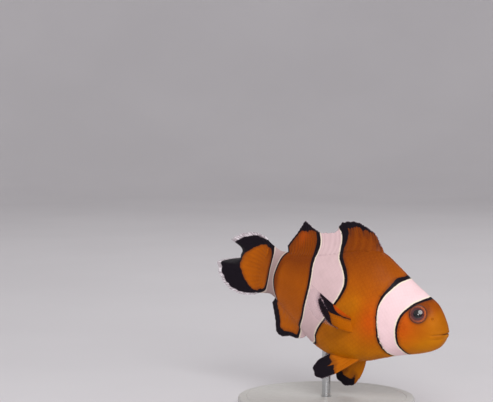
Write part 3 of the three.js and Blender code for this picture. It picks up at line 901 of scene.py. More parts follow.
def mark_caudal(fields, fin):
    """Marks the tail fin: an orange middle, a black crescent and a clear fringe with pale ray tips."""
    for end in (0, -1):
        fields["rim"] = np.minimum(fields["rim"], from_line(fin.middle, fin.middle[end]))
    share = fin.ray / (fin.look["rays"] - 1)
    bare = 0.1 + 0.25 * smooth_step(share, 0.6, 0.9)
    grown = smooth_step(fin.reach, bare, bare + 0.3)
    clear = value_at(CAUDAL_CLEAR, share) * grown
    fields["fringe"] = clear - 0.2 * (1 - grown)
    past_orange = (fin.reach - value_at(CAUDAL_ORANGE_TO, fin.ray)) * fin.length * 0.7
    fields["margin"] = np.maximum(past_orange, 0.75 + clear - fields["rim"])
    fields["white"][...] = -FAR
    fields["tone"][..., 0] = 0.45 - 0.25 * smooth_step(fin.reach, 0.05, 0.6)


def mark_pectoral(fields, fin):
    """Marks a pectoral fin: orange at its base, two black lobes with a pale streak between, a clear edge. A
    black tail along one ray is painted shade under the fin's leading strip. Its lower rays are painted darker
    outwards as shade, and its upper rays lighter and redder as painted light.
    """
    ray = fin.ray
    reach = fin.reach
    length = fin.length
    outer = (value_at(PECTORAL_BLACK_TO, ray) - reach) * length
    past_start = (reach - value_at(PECTORAL_UPPER_FROM, ray)) * length
    past_upper = (reach - value_at(PECTORAL_UPPER_TO, ray)) * length
    past_streak = (reach - value_at(PECTORAL_LOWER_FROM, ray)) * length
    lobes = np.maximum(np.minimum(past_start, -past_upper), past_streak)
    between = np.minimum(past_upper + 0.3, STREAK_TO_RAY - ray)
    black = np.minimum(outer, np.maximum(lobes, between))
    # painted shade: a black tail under the fin's bright leading strip, along one ray towards the root
    from_line_of_tail = np.abs(ray - TAIL_RAY + 8 * np.maximum(0.2 - reach, 0)) * (0.3 + reach)
    tail = np.where((reach > 0.03) & (reach < 0.5), 0.1 + 0.4 * reach - from_line_of_tail, -FAR)
    fields["margin"] = np.maximum(black * 0.6, tail)
    fields["rim"] = (1 - reach) * length
    streak = np.minimum(np.minimum(past_upper, -past_streak), outer) * 0.5
    streak = np.minimum(streak, (STREAK_TO_RAY - ray) * 0.3)
    clear = np.where(outer < 0, -outer * (1 + 3 * smooth_step(ray, 5, 7)), -outer)
    fields["fringe"] = fields["rim"] + np.maximum(clear, streak)
    # marks the clear web that carries painted shadow beside the black in fringe_look
    fields["haze"] = 0 * reach + 1
    fields["white"][...] = -FAR
    # painted shade and light: the lower rays darker outwards, the upper rays lighter and redder along the lit
    # leading strip
    above = fall(ray + 6 * np.maximum(0.25 - reach, 0), 1.6, 2.6)
    deep = 0.15 + 0.85 * smooth_step(reach, 0.1, 0.55) * (1 - above)
    fields["tone"] = np.stack([deep, 0.45 * (1 - above), 0.9 * above], -1)


def mark_pelvic(fields, fin):
    """Marks a pelvic fin: orange with a black outer part, in the tone that its look gives. The left fin gets
    painted light against the shade it lies in under the right one, and the right fin a little painted shade.
    """
    fields["margin"] = value_at(fin.look["black"], fin.ray) - fields["rim"]
    fields["white"][...] = -FAR
    fields["tone"][...] = fin.look["tone"]


# The widths of the black margins, as [ray, width], of the clear fringe, as [share of the fin, width], and
# how far along the rays other markings reach, as [ray, share of its length].
DORSAL_BLACK = [
    [0, -0.2], [1, 0.15], [2, 0.6], [3, 1.1], [4, 1.4], [5, 1.7], [6, 2.0], [7, 2.2], [7.8, 1.5], [8.4, -0.6],
    [11.8, -0.6], [12.6, 0.5], [14, 0.5], [15, 0.8], [16, 1.3], [17, 2.0], [18, 1.9], [19, 1.1], [20, 0.8],
    [25, 0.7],
]
ANAL_BLACK = [[0, -0.6], [1.0, -0.5], [1.8, 0.9], [3, 1.1], [5, 1.3], [6, 1.7], [8, 2.1], [12, 2.2]]
CAUDAL_ORANGE_TO = [
    [0, -0.2], [0.5, 0.0], [0.9, 0.22], [2, 0.38], [3.5, 0.42], [5, 0.47], [7.5, 0.54], [8.8, 0.5],
    [10.1, 0.45], [11.6, 0.37], [13.2, 0.22], [14.3, 0.0], [15, -0.2],
]
CAUDAL_CLEAR = [[0, 0.3], [0.15, 0.6], [0.35, 1.0], [0.5, 1.3], [0.7, 1.2], [0.85, 0.8], [1, 0.45]]
PECTORAL_BLACK_TO = [
    [0, 0.79], [1, 0.78], [2, 0.76], [3.2, 0.72], [4.6, 0.69], [6, 0.67], [7.6, 0.65], [11, 0.62],
]
PECTORAL_UPPER_FROM = [[0, 0.48], [0.8, 0.45], [1.9, 0.36], [2.4, 0.3], [3.2, 0.34], [3.6, 0.46], [4.2, 0.8]]
PECTORAL_UPPER_TO = [[0, 0.9], [1, 0.70], [1.8, 0.63], [2.7, 0.56], [3.4, 0.515], [4.2, 0.45]]
PECTORAL_LOWER_FROM = [
    [0, 0.8], [1.3, 0.72], [2, 0.645], [2.7, 0.585], [3.4, 0.54], [4.3, 0.51], [5.9, 0.51], [7.1, 0.54],
    [9, 0.62], [11, 0.8],
]
STREAK_TO_RAY = 3.2  # where the pale streak between the pectoral fin's lobes ends
TAIL_RAY = 2.6  # the ray along which a black tail, painted shade under the leading strip, runs to that fin's root
PELVIC_RIGHT_BLACK = [[0, 0.1], [0.8, 0.7], [1.5, 1.3], [2.6, 2.8], [3.4, 2.0], [4.3, 1.0], [5, 0.4]]
PELVIC_LEFT_BLACK = [
    [0, -0.5], [0.9, 0.1], [1.3, 1.0], [2.1, 2.2], [2.6, 2.6], [3.0, 2.2], [3.6, 1.2], [5, 0.6],
]

UNEVEN = 0.012  # the share by which neighbouring rays differ in length

# What a fin has: rays, columns per ray and rows of its mesh, its root below the body's edge as a share of
# its rays and as a depth (sunk), the thickness of spine and web and of the flare at its root, how deep its
# margin is notched between rays, as [ray, share], how ragged its markings are, its plain clear edge, the
# start of its random lengths, its place on the unwrap and the function that marks it.
FIN_LOOK = {
    "per_ray": 8, "rows": 22, "root": -0.1, "sunk": 1.1, "spine": 0.42, "web": 0.26, "flare": 0.0,
    "flare_reach": 1.0, "ragged": 0.4, "fringe": 0.06,
}
DORSAL_LOOK = {
    **FIN_LOOK, "rays": 26, "spine": 0.46, "web": 0.28, "ragged": 0.9, "seed": 1, "mark": mark_dorsal,
    "notch": [[0, 0.04], [3, 0.025], [9, 0.035], [12, 0.015]], "chart": (0.0, 0.26, 0.6, 0.39),
}
ANAL_LOOK = {
    **FIN_LOOK, "rays": 13, "notch": [[0, 0.02], [12, 0.02]], "seed": 2, "mark": mark_anal,
    "chart": (0.0, 0.13, 0.3, 0.25),
}
CAUDAL_LOOK = {
    **FIN_LOOK, "rays": 16, "rows": 34, "root": -0.05, "sunk": 0.9, "flare": 0.85, "flare_reach": 2.2,
    "ragged": 0.35, "fringe": 0.0, "notch": [[0, 0.02], [33, 0.02]], "seed": 3, "mark": mark_caudal,
    "chart": (0.62, 0.2, 1.0, 0.39),
}
PECTORAL_RIGHT_LOOK = {
    **FIN_LOOK, "rays": 12, "per_ray": 7, "rows": 26, "sunk": 1.6, "web": 0.25, "flare": 1.1,
    "flare_reach": 1.2, "ragged": 0.12, "fringe": 0.0, "notch": [[0, 0.025], [11, 0.025]], "seed": 4,
    "mark": mark_pectoral,
    "root_line": [[23.6, -5.8, -3.0], [22.8, -5.6, -6.4]], "margin": PECTORAL_MARGIN, "bow": [0.3, 0, -0.2],
    "chart": (0.31, 0.13, 0.45, 0.25),
}
PECTORAL_LEFT_LOOK = {**PECTORAL_RIGHT_LOOK, "chart": (0.46, 0.13, 0.6, 0.25)}
PELVIC_RIGHT_LOOK = {
    **FIN_LOOK, "rays": 6, "per_ray": 10, "sunk": 0.8, "spine": 0.46, "web": 0.28, "flare": 1.0,
    "ragged": 0.22, "notch": [[0, 0.03], [5, 0.03]], "seed": 5, "mark": mark_pelvic,
    # the right fin's deeper tone is painted shade that evens it with the left
    "black": PELVIC_RIGHT_BLACK, "tone": [0.2, 0.4, 0.0], "chart": (0.0, 0.0, 0.2, 0.12),
    "root_line": [[21.4, -2.0, -13.6], [26.6, -1.4, -14.6]], "margin": PELVIC_RIGHT_MARGIN,
    "bow": [-0.2, -0.3, 0.1],
}
PELVIC_LEFT_LOOK = {
    # the left fin's lighter, yellower tone is painted light against the shade it lies in under the right fin
    **PELVIC_RIGHT_LOOK, "ragged": 0.08, "seed": 6, "black": PELVIC_LEFT_BLACK, "tone": [0.0, 0.8, 0.0],
    "chart": (0.21, 0.0, 0.41, 0.12), "root_line": [[21.4, -1.9, -13.6], [24.8, -1.2, -14.6]],
    "margin": PELVIC_LEFT_MARGIN, "bow": [-0.3, -0.3, 0.2],
}


def dorsal_part():
    """The whole back fin: 11 spines and 15 soft rays on one blade. Every second soft ray is given."""
    spines = len(DORSAL_SPINES)
    places = [*range(spines), *range(spines, DORSAL_LOOK["rays"], 2)]
    rows = DORSAL_SPINES + DORSAL_RAYS
    blade = median_blade(rows, places, back, ROOT_INSET, RAY_BOW)
    return make_fin_part(blade, DORSAL_LOOK, fin_foot(rows, places, UPPER_TAPER))


def anal_part():
    """The anal fin."""
    places = np.linspace(0, ANAL_LOOK["rays"] - 1, len(ANAL_RAYS))
    blade = median_blade(ANAL_RAYS, places, belly, -ROOT_INSET, -RAY_BOW)
    return make_fin_part(blade, ANAL_LOOK, fin_foot(ANAL_RAYS, places, 1.0))


def paired_parts():
    """The pectoral and pelvic fins."""
    looks = (PECTORAL_RIGHT_LOOK, PECTORAL_LEFT_LOOK, PELVIC_RIGHT_LOOK, PELVIC_LEFT_LOOK)
    sides = (False, True, False, True)
    return [make_fin_part(paired_blade(look, left), look) for look, left in zip(looks, sides)]


def join_parts(parts):
    """Several closed grids as one set of points, quads, unwrap corners and fields."""
    starts = np.cumsum([0] + [len(part["points"]) for part in parts[:-1]])
    fields = [part["fields"] for part in parts]
    return {
        "points": np.concatenate([part["points"] for part in parts]),
        "quads": np.concatenate([part["quads"] + start for part, start in zip(parts, starts)]),
        "uv": np.concatenate([part["uv"] for part in parts]),
        "fields": {name: np.concatenate([field[name] for field in fields]) for name in fields[0]},
    }


# ---- scales ----------------------------------------------------------------------------------------

SCALES_FROM = 8.2
SCALES_TO = 61.8
EYE_CLEAR = 3.3  # how far from the eye's axis the scales start
THROAT = (13, -7.6)  # no scales before this u and below this z
BARE_EDGE = ((-0.5, 0.75), (-12, 9.5))  # no scales so far behind the gill cover's edge, between these heights
COURSE_U = np.linspace(6.0, 64.0, 291)
SHARES = np.linspace(0, 1, 241)  # shares of the way round the body from the belly


def girth_tables():
    """The girth at each place along the body, and the angle at each share of the way round from the belly."""
    angle = np.linspace(-math.pi / 2, 3 * math.pi / 2, 481)
    ring = body_point(COURSE_U[:, None], angle[None, :])
    step = np.linalg.norm(np.diff(ring, axis=1), axis=-1)
    way = np.concatenate([np.zeros((len(COURSE_U), 1)), np.cumsum(step, 1)], 1)
    girth = way[:, -1]
    angles = np.stack([np.interp(SHARES, row / row[-1], angle) for row in way])
    return girth, angles


GIRTH, ANGLES = girth_tables()


def course_table(rows_around):
    """How many scale rows' breadths the coat has run from its start, at each place along the body."""
    pace = rows_around / GIRTH
    steps = (pace[1:] + pace[:-1]) / 2 * np.diff(COURSE_U)
    return np.concatenate([[0], np.cumsum(steps)])


def angle_at(u, share):
    """The angle at a share of the way round the body from the belly."""
    column = np.clip((u - COURSE_U[0]) / (COURSE_U[1] - COURSE_U[0]), 0, len(COURSE_U) - 1.001)
    row = np.clip(share * (len(SHARES) - 1), 0, len(SHARES) - 1.001)
    i = column.astype(int)
    j = row.astype(int)
    a = column - i
    b = row - j
    low = ANGLES[i, j] * (1 - b) + ANGLES[i, j + 1] * b
    high = ANGLES[i + 1, j] * (1 - b) + ANGLES[i + 1, j + 1] * b
    return low * (1 - a) + high * a


def scale_roots(look, right):
    """Where the scales of one side lie on the flat coat, as [course, row], in rows' breadths."""
    columns = np.arange(int(course_table(look.rows)[-1] / look.spacing))
    column, row = np.meshgrid(columns, np.arange(look.rows), indexing="ij")
    roots = np.stack([column * look.spacing, row + 0.5 * (column % 2)], -1).reshape(-1, 2)
    side = roots[:, 1] < look.rows / 2
    roots = roots[side if right else ~side]
    return roots[is_scaled(roots, look)]


def on_body(flat, look):
    """The u and angle on the body of points of the flat coat."""
    u = np.interp(flat[:, 0], course_table(look.rows), COURSE_U)
    return u, angle_at(u, np.mod(flat[:, 1] / look.rows, 1.0))


def is_scaled(roots, look):
    """True where the skin carries scales: not on the snout, round the eye or along the gill opening."""
    u, angle = on_body(roots, look)
    points = body_point(u, angle)
    z = points[:, 2]
    behind_gill = u - gill_edge_u(z)
    (edge_from, edge_to), (low, high) = BARE_EDGE
    on_edge = (behind_gill > edge_from) & (behind_gill < edge_to) & (z > low) & (z < high)
    throat = (u < THROAT[0]) & (z < THROAT[1])
    start = SCALES_FROM + 1.2 * smooth_step(z, 2, -6)
    return (u > start) & (u < SCALES_TO) & (from_eye(points) > EYE_CLEAR) & ~on_edge & ~throat


FREE_EDGE_POINTS = 9


def plate_outline():
    """The outline of one scale, from its left front corner round its free rear edge."""
    turn = np.radians(np.linspace(90, -90, FREE_EDGE_POINTS))
    rear = np.stack([0.05 + 0.45 * np.cos(turn), 0.5 * np.sin(turn)], -1)
    return np.vstack([rear, [[-0.5, -0.34], [-0.52, 0.0], [-0.5, 0.34]]])


def plate_height(x, y):
    """The height of a scale's upper face: low at its root, high at its free edge and falling to its sides."""
    return 0.02 + 0.98 * (x + 0.5) - 0.5 * (2 * y) ** 2 * (0.6 - 0.4 * x)


def make_plate():
    """One scale as a thin closed plate, one unit long and wide."""
    outline = plate_outline()
    count = len(outline)
    top = [(x, y, plate_height(x, y)) for x, y in outline]
    bottom = [(x * 0.94, y * 0.94, plate_height(x, y) * 0.3 - 0.55) for x, y in outline]
    points = top + bottom + [(-0.02, 0, plate_height(-0.02, 0) + 0.06), (0, 0, -0.5)]
    faces = []
    for k in range(count):
        after = (k + 1) % count
        faces.append((after, k, 2 * count))
        faces.append((k, after, count + after, count + k))
        faces.append((count + k, count + after, 2 * count + 1))
    mesh = bpy.data.meshes.new("one_scale")
    mesh.from_pydata(points, [], faces)
    edge = np.zeros(len(points))
    edge[:FREE_EDGE_POINTS] = 1
    write_fields(mesh, {"plate": np.array(points), "edge": edge})
    return put_in_scene("one_scale", mesh)


# The coat tree's inputs: name, kind of socket, default, lowest and highest value.
COAT_INPUTS = (
    ("Scale", "Object"),
    ("Length", "Float", 1.45, 0.5, 3.0),
    ("Width", "Float", 1.15, 0.5, 3.0),
    ("Size variation", "Float", 0.05, 0.0, 0.5),
    ("Turn", "Float", 0.06, 0.0, 1.0),
    ("Seed", "Int", 7, 0, 1000),
    ("Material", "Material"),
)


def coat_tree():
    """The node tree that sets one turned and sized scale on every root and joins them into one mesh."""
    tree = bpy.data.node_groups.new("scale_coat", "GeometryNodeTree")
    add_socket(tree, "Geometry", "Geometry")
    add_socket(tree, "Geometry", "Geometry", way="OUTPUT")
    keys = {given[0]: add_socket(tree, *given) for given in COAT_INPUTS}
    link_coat(tree)
    return tree, keys


def varied(tree, given, middle, seed):
    """A random number that differs from the middle by at most the given variation."""
    spread = add_node(tree, "FunctionNodeRandomValue", data_type="FLOAT")
    for operation, end in (("SUBTRACT", 2), ("ADD", 3)):
        bound = add_node(tree, "ShaderNodeMath", operation=operation)
        bound.inputs[0].default_value = middle
        join(tree, (given, bound.inputs[1]), (bound.outputs[0], spread.inputs[end]))
    join(tree, (seed, spread.inputs["Seed"]))
    return spread.outputs[1]


def link_coat(tree):
    """Joins up the coat's nodes."""
    given = add_node(tree, "NodeGroupInput").outputs
    plate = add_node(tree, "GeometryNodeObjectInfo")
    plate.inputs["As Instance"].default_value = True
    size = add_node(tree, "ShaderNodeCombineXYZ")
    grow = varied(tree, given["Size variation"], 1.0, given["Seed"])
    for name, axis in (("Length", "X"), ("Width", "Y")):
        product = add_node(tree, "ShaderNodeMath", operation="MULTIPLY")
        join(tree, (given[name], product.inputs[0]), (grow, product.inputs[1]))
        join(tree, (product.outputs[0], size.inputs[axis]))
    size.inputs["Z"].default_value = 1.0
    turn = add_node(tree, "ShaderNodeCombineXYZ")
    place = add_node(tree, "GeometryNodeInstanceOnPoints")
    whole = add_node(tree, "GeometryNodeRealizeInstances")
    finish = add_node(tree, "GeometryNodeSetMaterial")
    result = add_node(tree, "NodeGroupOutput")
    join(
        tree,
        (given["Scale"], plate.inputs["Object"]),
        (varied(tree, given["Turn"], 0.0, given["Seed"]), turn.inputs["Z"]),
        (given["Geometry"], place.inputs["Points"]),
        (plate.outputs["Geometry"], place.inputs["Instance"]),
        (turn.outputs[0], place.inputs["Rotation"]),
        (size.outputs[0], place.inputs["Scale"]),
        (place.outputs["Instances"], whole.inputs["Geometry"]),
        (whole.outputs["Geometry"], finish.inputs["Geometry"]),
        (given["Material"], finish.inputs["Material"]),
        (finish.outputs["Geometry"], result.inputs["Geometry"]),
    )


def lay_coat(name, roots, plate, look, material, seed):
    """The flat coat of one side: Geometry Nodes set a scale on every root, and the result is a plain mesh."""
    mesh = bpy.data.meshes.new(name + "_roots")
    places = np.column_stack([roots, 0 * roots[:, 0]])
    mesh.from_pydata(places.tolist(), [], [])
    write_fields(mesh, {"root": places})
    carrier = put_in_scene(name + "_roots", mesh)
    tree, keys = coat_tree()
    modifier = carrier.modifiers.new("coat", "NODES")
    modifier.node_group = tree
    values = (plate, look.length, look.width, look.variation, look.turn, seed, material)
    for key, value in zip(keys.values(), values):
        modifier[key] = value
    depsgraph = bpy.context.evaluated_depsgraph_get()
    flat = bpy.data.meshes.new_from_object(carrier.evaluated_get(depsgraph), depsgraph=depsgraph)
    flat.name = name
    carrier.modifiers.remove(modifier)
    bpy.data.objects.remove(carrier)
    return flat


def read_vectors(mesh, name):
    """A vector attribute of a mesh's points as an array."""
    values = np.zeros(len(mesh.vertices) * 3, np.float32)
    mesh.attributes[name].data.foreach_get("vector", values)
    return values.reshape(-1, 3).astype(float)


PATCH = 0.003  # the size of one scale on the unwrap


def wrap_coat(mesh, look, depth):
    """Wraps a flat coat round the body, over the skin, and marks it as the skin is marked."""
    flat, root, plate = (read_vectors(mesh, name) for name in ("position", "root", "plate"))
    u, angle = on_body(flat, look)
    ground = body_point(u, angle)
    lift = look.rise / MM * (1 - 0.7 * smooth_step(u, 57, SCALES_TO))
    height = relief(ground) - depth + flat[:, 2] * lift
    points = ground + body_normal(u, angle) * height[:, None]
    mesh.vertices.foreach_set("co", to_model(points).astype(np.float32).ravel())
    write_fields(mesh, plain_fields(ground))
    root_u, root_angle = on_body(root, look)
    around = (root_angle + math.pi / 2) / (2 * math.pi)
    uv = into_chart(BODY_CHART, np.sqrt(root_u / SKIN_END), around) + plate[:, :2] * PATCH
    corner = np.zeros(len(mesh.loops), np.int32)
    mesh.loops.foreach_get("vertex_index", corner)
    write_uv(mesh, uv[corner])
    for name in ("root", "plate"):
        mesh.attributes.remove(mesh.attributes[name])
    mesh.update()
    mesh.validate()


# ---- lathed pieces ---------------------------------------------------------------------------------


def lathe(profile, segments):
    """Points and faces of a closed body turned about the z axis from a profile of [radius, height]."""
    points = []
    rings = []
    for radius, height in profile:
        count = segments if radius > 1e-9 else 1
        rings.append(list(range(len(points), len(points) + count)))
        for k in range(count):
            turn = 2 * math.pi * k / segments
            points.append((radius * math.cos(turn), radius * math.sin(turn), height))
    faces = []
    for low, high in zip(rings, rings[1:]):
        for k in range(segments):
            after = (k + 1) % segments
            corners = [low[k % len(low)], low[after % len(low)], high[after % len(high)], high[k % len(high)]]
            faces.append(list(dict.fromkeys(corners)))
    return np.array(points, float), faces


def mesh_from(name, points, faces, fields):
    """A smooth mesh object of points in metres and faces."""
    mesh = bpy.data.meshes.new(name)
    mesh.from_pydata([tuple(point) for point in points], [], faces)
    write_fields(mesh, fields)
    mesh.validate()
    return add_object(name, mesh)


def eye_piece(name, left):
    """An eye: a ball flattened across the head, with how far each point lies from its axis."""
    tilt = np.linspace(0, math.pi, 45)
    profile = [[EYE_RADIUS * math.sin(t), -EYE_HALF_DEPTH * math.cos(t)] for t in tilt]
    profile[0][0] = profile[-1][0] = 0.0
    turned, faces = lathe(profile, 72)
    middle, out = eye_axis()
    along = unit(np.cross(out, np.array([0.0, 0.0, 1.0])))
    points = middle + turned @ np.array([-along, np.cross(along, out), out])
    ring = np.hypot(turned[:, 0], turned[:, 1]) + np.where(turned[:, 2] < 0, EYE_RADIUS, 0)
    if left:
        points = points * np.array([1, -1, 1])
        faces = [face[::-1] for face in faces]
    return mesh_from(name, to_model(points), faces, {"ring": ring, "side": turned * np.array([1, 1, 0])})


GROOVE_INSET = 2.2  # from the base's edge to its turned groove
GROOVE_BREADTH = 0.28
HOLE_RADIUS = 1.4
HOLE_DEPTH = 2.5


def rounded(radius, height, corner):
    """The outer profile of a disc with rounded edges, from the middle of its underside to its top's edge."""
    turn = np.linspace(-math.pi / 2, 0, 6)
    low = [[radius - corner + corner * math.cos(t), corner + corner * math.sin(t)] for t in turn]
    return [[0, 0]] + low + [[r, height - z] for r, z in reversed(low)]


def stand_base_profile(look):
    """The base's profile: rounded edges, a fine turned groove and the rod's hole, in metres."""
    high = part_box("stand_base")[1] / MM
    radius = high.x
    height = high.z
    middle = radius - GROOVE_INSET
    half = GROOVE_BREADTH / 2
    groove = [[middle + half, height], [middle, height - look.groove / MM], [middle - half, height]]
    floor = height - HOLE_DEPTH
    hole = [[HOLE_RADIUS + 0.1, height], [HOLE_RADIUS, height - 0.1], [HOLE_RADIUS, floor], [0, floor]]
    profile = rounded(radius, height, look.edge_radius / MM) + groove + hole
    return [[r * MM, z * MM] for r, z in profile]


def stand_rod_profile():
    """The rod's profile, with its ends eased, in metres."""
    low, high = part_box("stand_rod")
    radius = high.x
    ease = 0.15 * MM
    foot = [[0, low.z], [radius - ease, low.z], [radius, low.z + ease]]
    return foot + [[radius, high.z - ease], [radius - ease, high.z], [0, high.z]]


# ---- materials -------------------------------------------------------------------------------------


class Finish:
    """Builds one material's nodes with short calls."""

    def __init__(self, name):
        self.material = bpy.data.materials.new(name)
        self.material.use_nodes = True
        self.tree = self.material.node_tree
        self.shader = self.tree.nodes["Principled BSDF"]
        self.place = self.add("TexCoord").outputs["Object"]

    def put(self, socket, value):
        """Links a socket or sets its value."""
        if isinstance(value, bpy.types.NodeSocket):
            self.tree.links.new(value, socket)
        else:
            socket.default_value = value

    def add(self, kind, inputs=None, **options):
        """Adds a shader node with its options and the given inputs."""
        node = add_node(self.tree, "ShaderNode" + kind, **options)
        for key, value in (inputs or {}).items():
            self.put(node.inputs[key], value)
        return node

    def set(self, **values):
        """Sets the shader's own sockets by name, with _ for a space."""
        for name, value in values.items():
            self.put(self.shader.inputs[name.replace("_", " ")], value)

    def field(self, name):
        """One number of the mesh's attribute."""
        return self.add("Attribute", attribute_name=name).outputs["Fac"]

    def vector(self, name):
        """A vector of the mesh's attribute."""
        return self.add("Attribute", attribute_name=name).outputs["Vector"]

    def parts(self, vector):
        """The three numbers of a vector."""
        return self.add("SeparateXYZ", {0: vector}).outputs[:3]

    def math(self, operation, a, b):
        """A sum of two numbers."""
        return self.add("Math", {0: a, 1: b}, operation=operation).outputs[0]

    plus = partialmethod(math, "ADD")
    less = partialmethod(math, "SUBTRACT")
    times = partialmethod(math, "MULTIPLY")
    lower = partialmethod(math, "MINIMUM")
    higher = partialmethod(math, "MAXIMUM")

    def ramp(self, value, low, high, start=0.0, end=1.0):
        """An even rise from start to end as the value goes from low to high."""
        given = dict(enumerate((value, low, high, start, end)))
        return self.add("MapRange", given, interpolation_type="SMOOTHSTEP").outputs[0]

    def mix(self, share, a, b, blend="MIX"):
        """One colour laid over another by its share."""
        given = {0: share, 6: rgba(a), 7: rgba(b)}
        return self.add("Mix", given, data_type="RGBA", blend_type=blend).outputs[2]

    def stretch(self, vector, scale):
        """A vector with each of its numbers multiplied."""
        return self.add("VectorMath", {0: vector, 1: scale}, operation="MULTIPLY").outputs[0]

    def noise(self, scale, detail=2.0, vector=None):
        """Cloudy noise from 0 to 1 at so many features a metre, or a unit of the vector."""
        place = self.place if vector is None else vector
        return self.add("TexNoise", {"Vector": place, "Scale": scale, "Detail": detail}).outputs[0]

    def clouds(self, scale, detail, low, high, start=0.0, end=1.0):
        """Noise as an even rise between two of its values."""
        return self.ramp(self.noise(scale, detail), low, high, start, end)

    def wander(self, noise, reach):
        """Noise as a wander of so much to either side."""
        return self.times(self.less(noise, 0.5), 2 * reach)

    def bump(self, height, distance, strength):
        """A normal bent by a height field."""
        return self.add("Bump", {"Height": height, "Distance": distance, "Strength": strength}).outputs[0]


STREAK_SCALE = (2.6, 0.22, 1.0)  # streaks per ray, and per millimetre along it
SPLIT_SCALE = (7.0, 0.3, 1.0)
SPOKE_SCALE = (2.2, 2.2, 1.0)  # the iris's mottling, in features per millimetre
BRUSH_SCALE = (300.0, 300.0, 9000.0)  # the rod's brush marks, in features per metre


def rgba(colour):
    """A colour with its alpha, or a socket as it is."""
    if isinstance(colour, bpy.types.NodeSocket):
        return colour
    return (*colour[:3], 1.0)


def marking_masks(finish, look):
    """Where the skin is white, black, dusky near a black line, cream at a white edge, and clear."""
    reach = look.edge_wander / MM
    wander = [finish.wander(finish.noise(scale, 1), reach) for scale in (1700, 450)]
    wander = finish.plus(*wander)
    white_depth = finish.plus(finish.field("white"), wander)
    line = finish.field("line")
    beside = finish.lower(finish.times(white_depth, -1.0), finish.plus(white_depth, line))
    streaks = finish.noise(1.0, 3, finish.stretch(finish.vector("ray"), STREAK_SCALE))
    fin_wander = finish.plus(finish.times(finish.wander(streaks, 1.0), finish.field("ragged")), wander)
    ink_depth = finish.higher(beside, finish.plus(finish.field("margin"), fin_wander))
    past_rim = finish.less(finish.field("fringe"), finish.field("rim"))
    stray = finish.lower(finish.field("ragged"), finish.field("fringe"))
    fringe_depth = finish.plus(past_rim, finish.times(finish.wander(streaks, 1.0), stray))
    return {
        "white": finish.ramp(white_depth, -0.05, 0.06),
        "cream": finish.ramp(white_depth, 0.15, 0.55, 1.0, 0.0),
        "ink": finish.ramp(ink_depth, -0.07, 0.07),
        "dusk": finish.ramp(ink_depth, -0.9, 0.0),
        "ink_depth": ink_depth,
        "fringe": finish.ramp(fringe_depth, -0.12, 0.12),
        "faint": finish.ramp(fringe_depth, 0.1, 1.9),
        "streaks": streaks,
    }


def orange_ground(finish, look):
    """The orange of the fish, from its tones, with soft mottling and paler rays on the fins."""
    deep, yellow, red = finish.parts(finish.vector("tone"))
    colour = look.orange
    layers = (
        # the deep tone is partly painted shade towards the tail, and the lighter tones low on the body and on
        # the left pelvic fin are painted light
        (deep, look.deep_orange),
        (yellow, look.yellow_orange),
        (red, look.red_orange),
        (finish.times(finish.field("stem"), 0.15), look.ray_orange),
        (finish.clouds(260, 3, 0.3, 0.7, end=0.22), look.deep_orange),
        (finish.clouds(3800, 2, 0.35, 0.7, end=0.12), look.yellow_orange),
        # painted shade in the mouth's line, the nostrils and round the eye, with the eye's dark rim
        (finish.field("lip"), look.mouth),
    )
    for share, over in layers:
        colour = finish.mix(share, colour, over)
    return colour


def fringe_look(finish, look, faint):
    """The colour and cover of a fin's clear fringe: pale ray tips, or on the pectoral fin a dark film of
    painted shadow where it leaves the black.
    """
    haze = finish.field("haze")
    split_rays = finish.noise(1.0, 1, finish.stretch(finish.vector("ray"), SPLIT_SCALE))
    tips = finish.times(finish.ramp(split_rays, 0.46, 0.62), finish.less(1.0, haze))
    # painted shadow on the pectoral fin's clear web, darkest where it leaves the black
    root = finish.times(finish.ramp(faint, 0.0, 0.5, 0.75, 0.0), haze)
    colour = finish.mix(tips, look.clear_web, look.clear)
    colour = finish.mix(root, colour, look.clear_shadow)
    tip_cover = finish.times(tips, finish.ramp(faint, 0.0, 0.7, 0.65, 0.25))
    return colour, finish.plus(finish.ramp(faint, 0.0, 1.0, 0.32, 0.08), tip_cover)


def pale_ground(finish, look, cream):
    """The white of the bars: painted shade to the rear and cream along its edges."""
    shade = finish.plus(finish.field("shade"), finish.clouds(350, 2, 0.35, 0.75, end=0.08))
    pale = finish.mix(shade, look.white, look.white_shade)
    return finish.mix(finish.times(cream, finish.ramp(shade, 0.4, 1.0, 1.0, 0.45)), pale, look.cream)


def skin_material(look):
    """The satin skin that the body, fins and scales share."""
    finish = Finish("clownfish_skin")
    masks = marking_masks(finish, look)
    streaks = masks["streaks"]
    orange = orange_ground(finish, look)
    smoke = finish.times(finish.field("smoke"), finish.ramp(streaks, 0.35, 0.65, 0.15, 0.95))
    smoke = finish.times(smoke, finish.ramp(masks["ink_depth"], -2.2, 0.0))
    orange = finish.mix(finish.higher(finish.times(masks["dusk"], 0.45), smoke), orange, look.dusk)
    colour = finish.mix(masks["white"], orange, pale_ground(finish, look, masks["cream"]))
    colour = finish.mix(masks["ink"], colour, look.black)
    edge_tint = finish.ramp(masks["white"], 0.0, 1.0, 0.16, 0.06)
    edge_tint = finish.times(finish.ramp(finish.field("edge"), 0.55, 1.0), edge_tint)
    colour = finish.mix(edge_tint, colour, look.scale_edge, "MULTIPLY")
    clear, cover = fringe_look(finish, look, masks["faint"])
    colour = finish.mix(masks["fringe"], colour, clear)
    alpha = finish.less(1.0, finish.times(masks["fringe"], finish.less(1.0, cover)))
    height = finish.plus(finish.times(finish.noise(5200, 2), 0.5), finish.times(streaks, 0.6))
    finish.set(Base_Color=colour, Alpha=alpha, Coat_Weight=0.03, Coat_Roughness=0.3, IOR=1.38)
    finish.set(Specular_IOR_Level=0.13, Roughness=finish.clouds(1400, 3, 0.3, 0.7, 0.46, 0.6))
    finish.set(Normal=finish.bump(height, 0.00005, 0.7))
    return finish.material


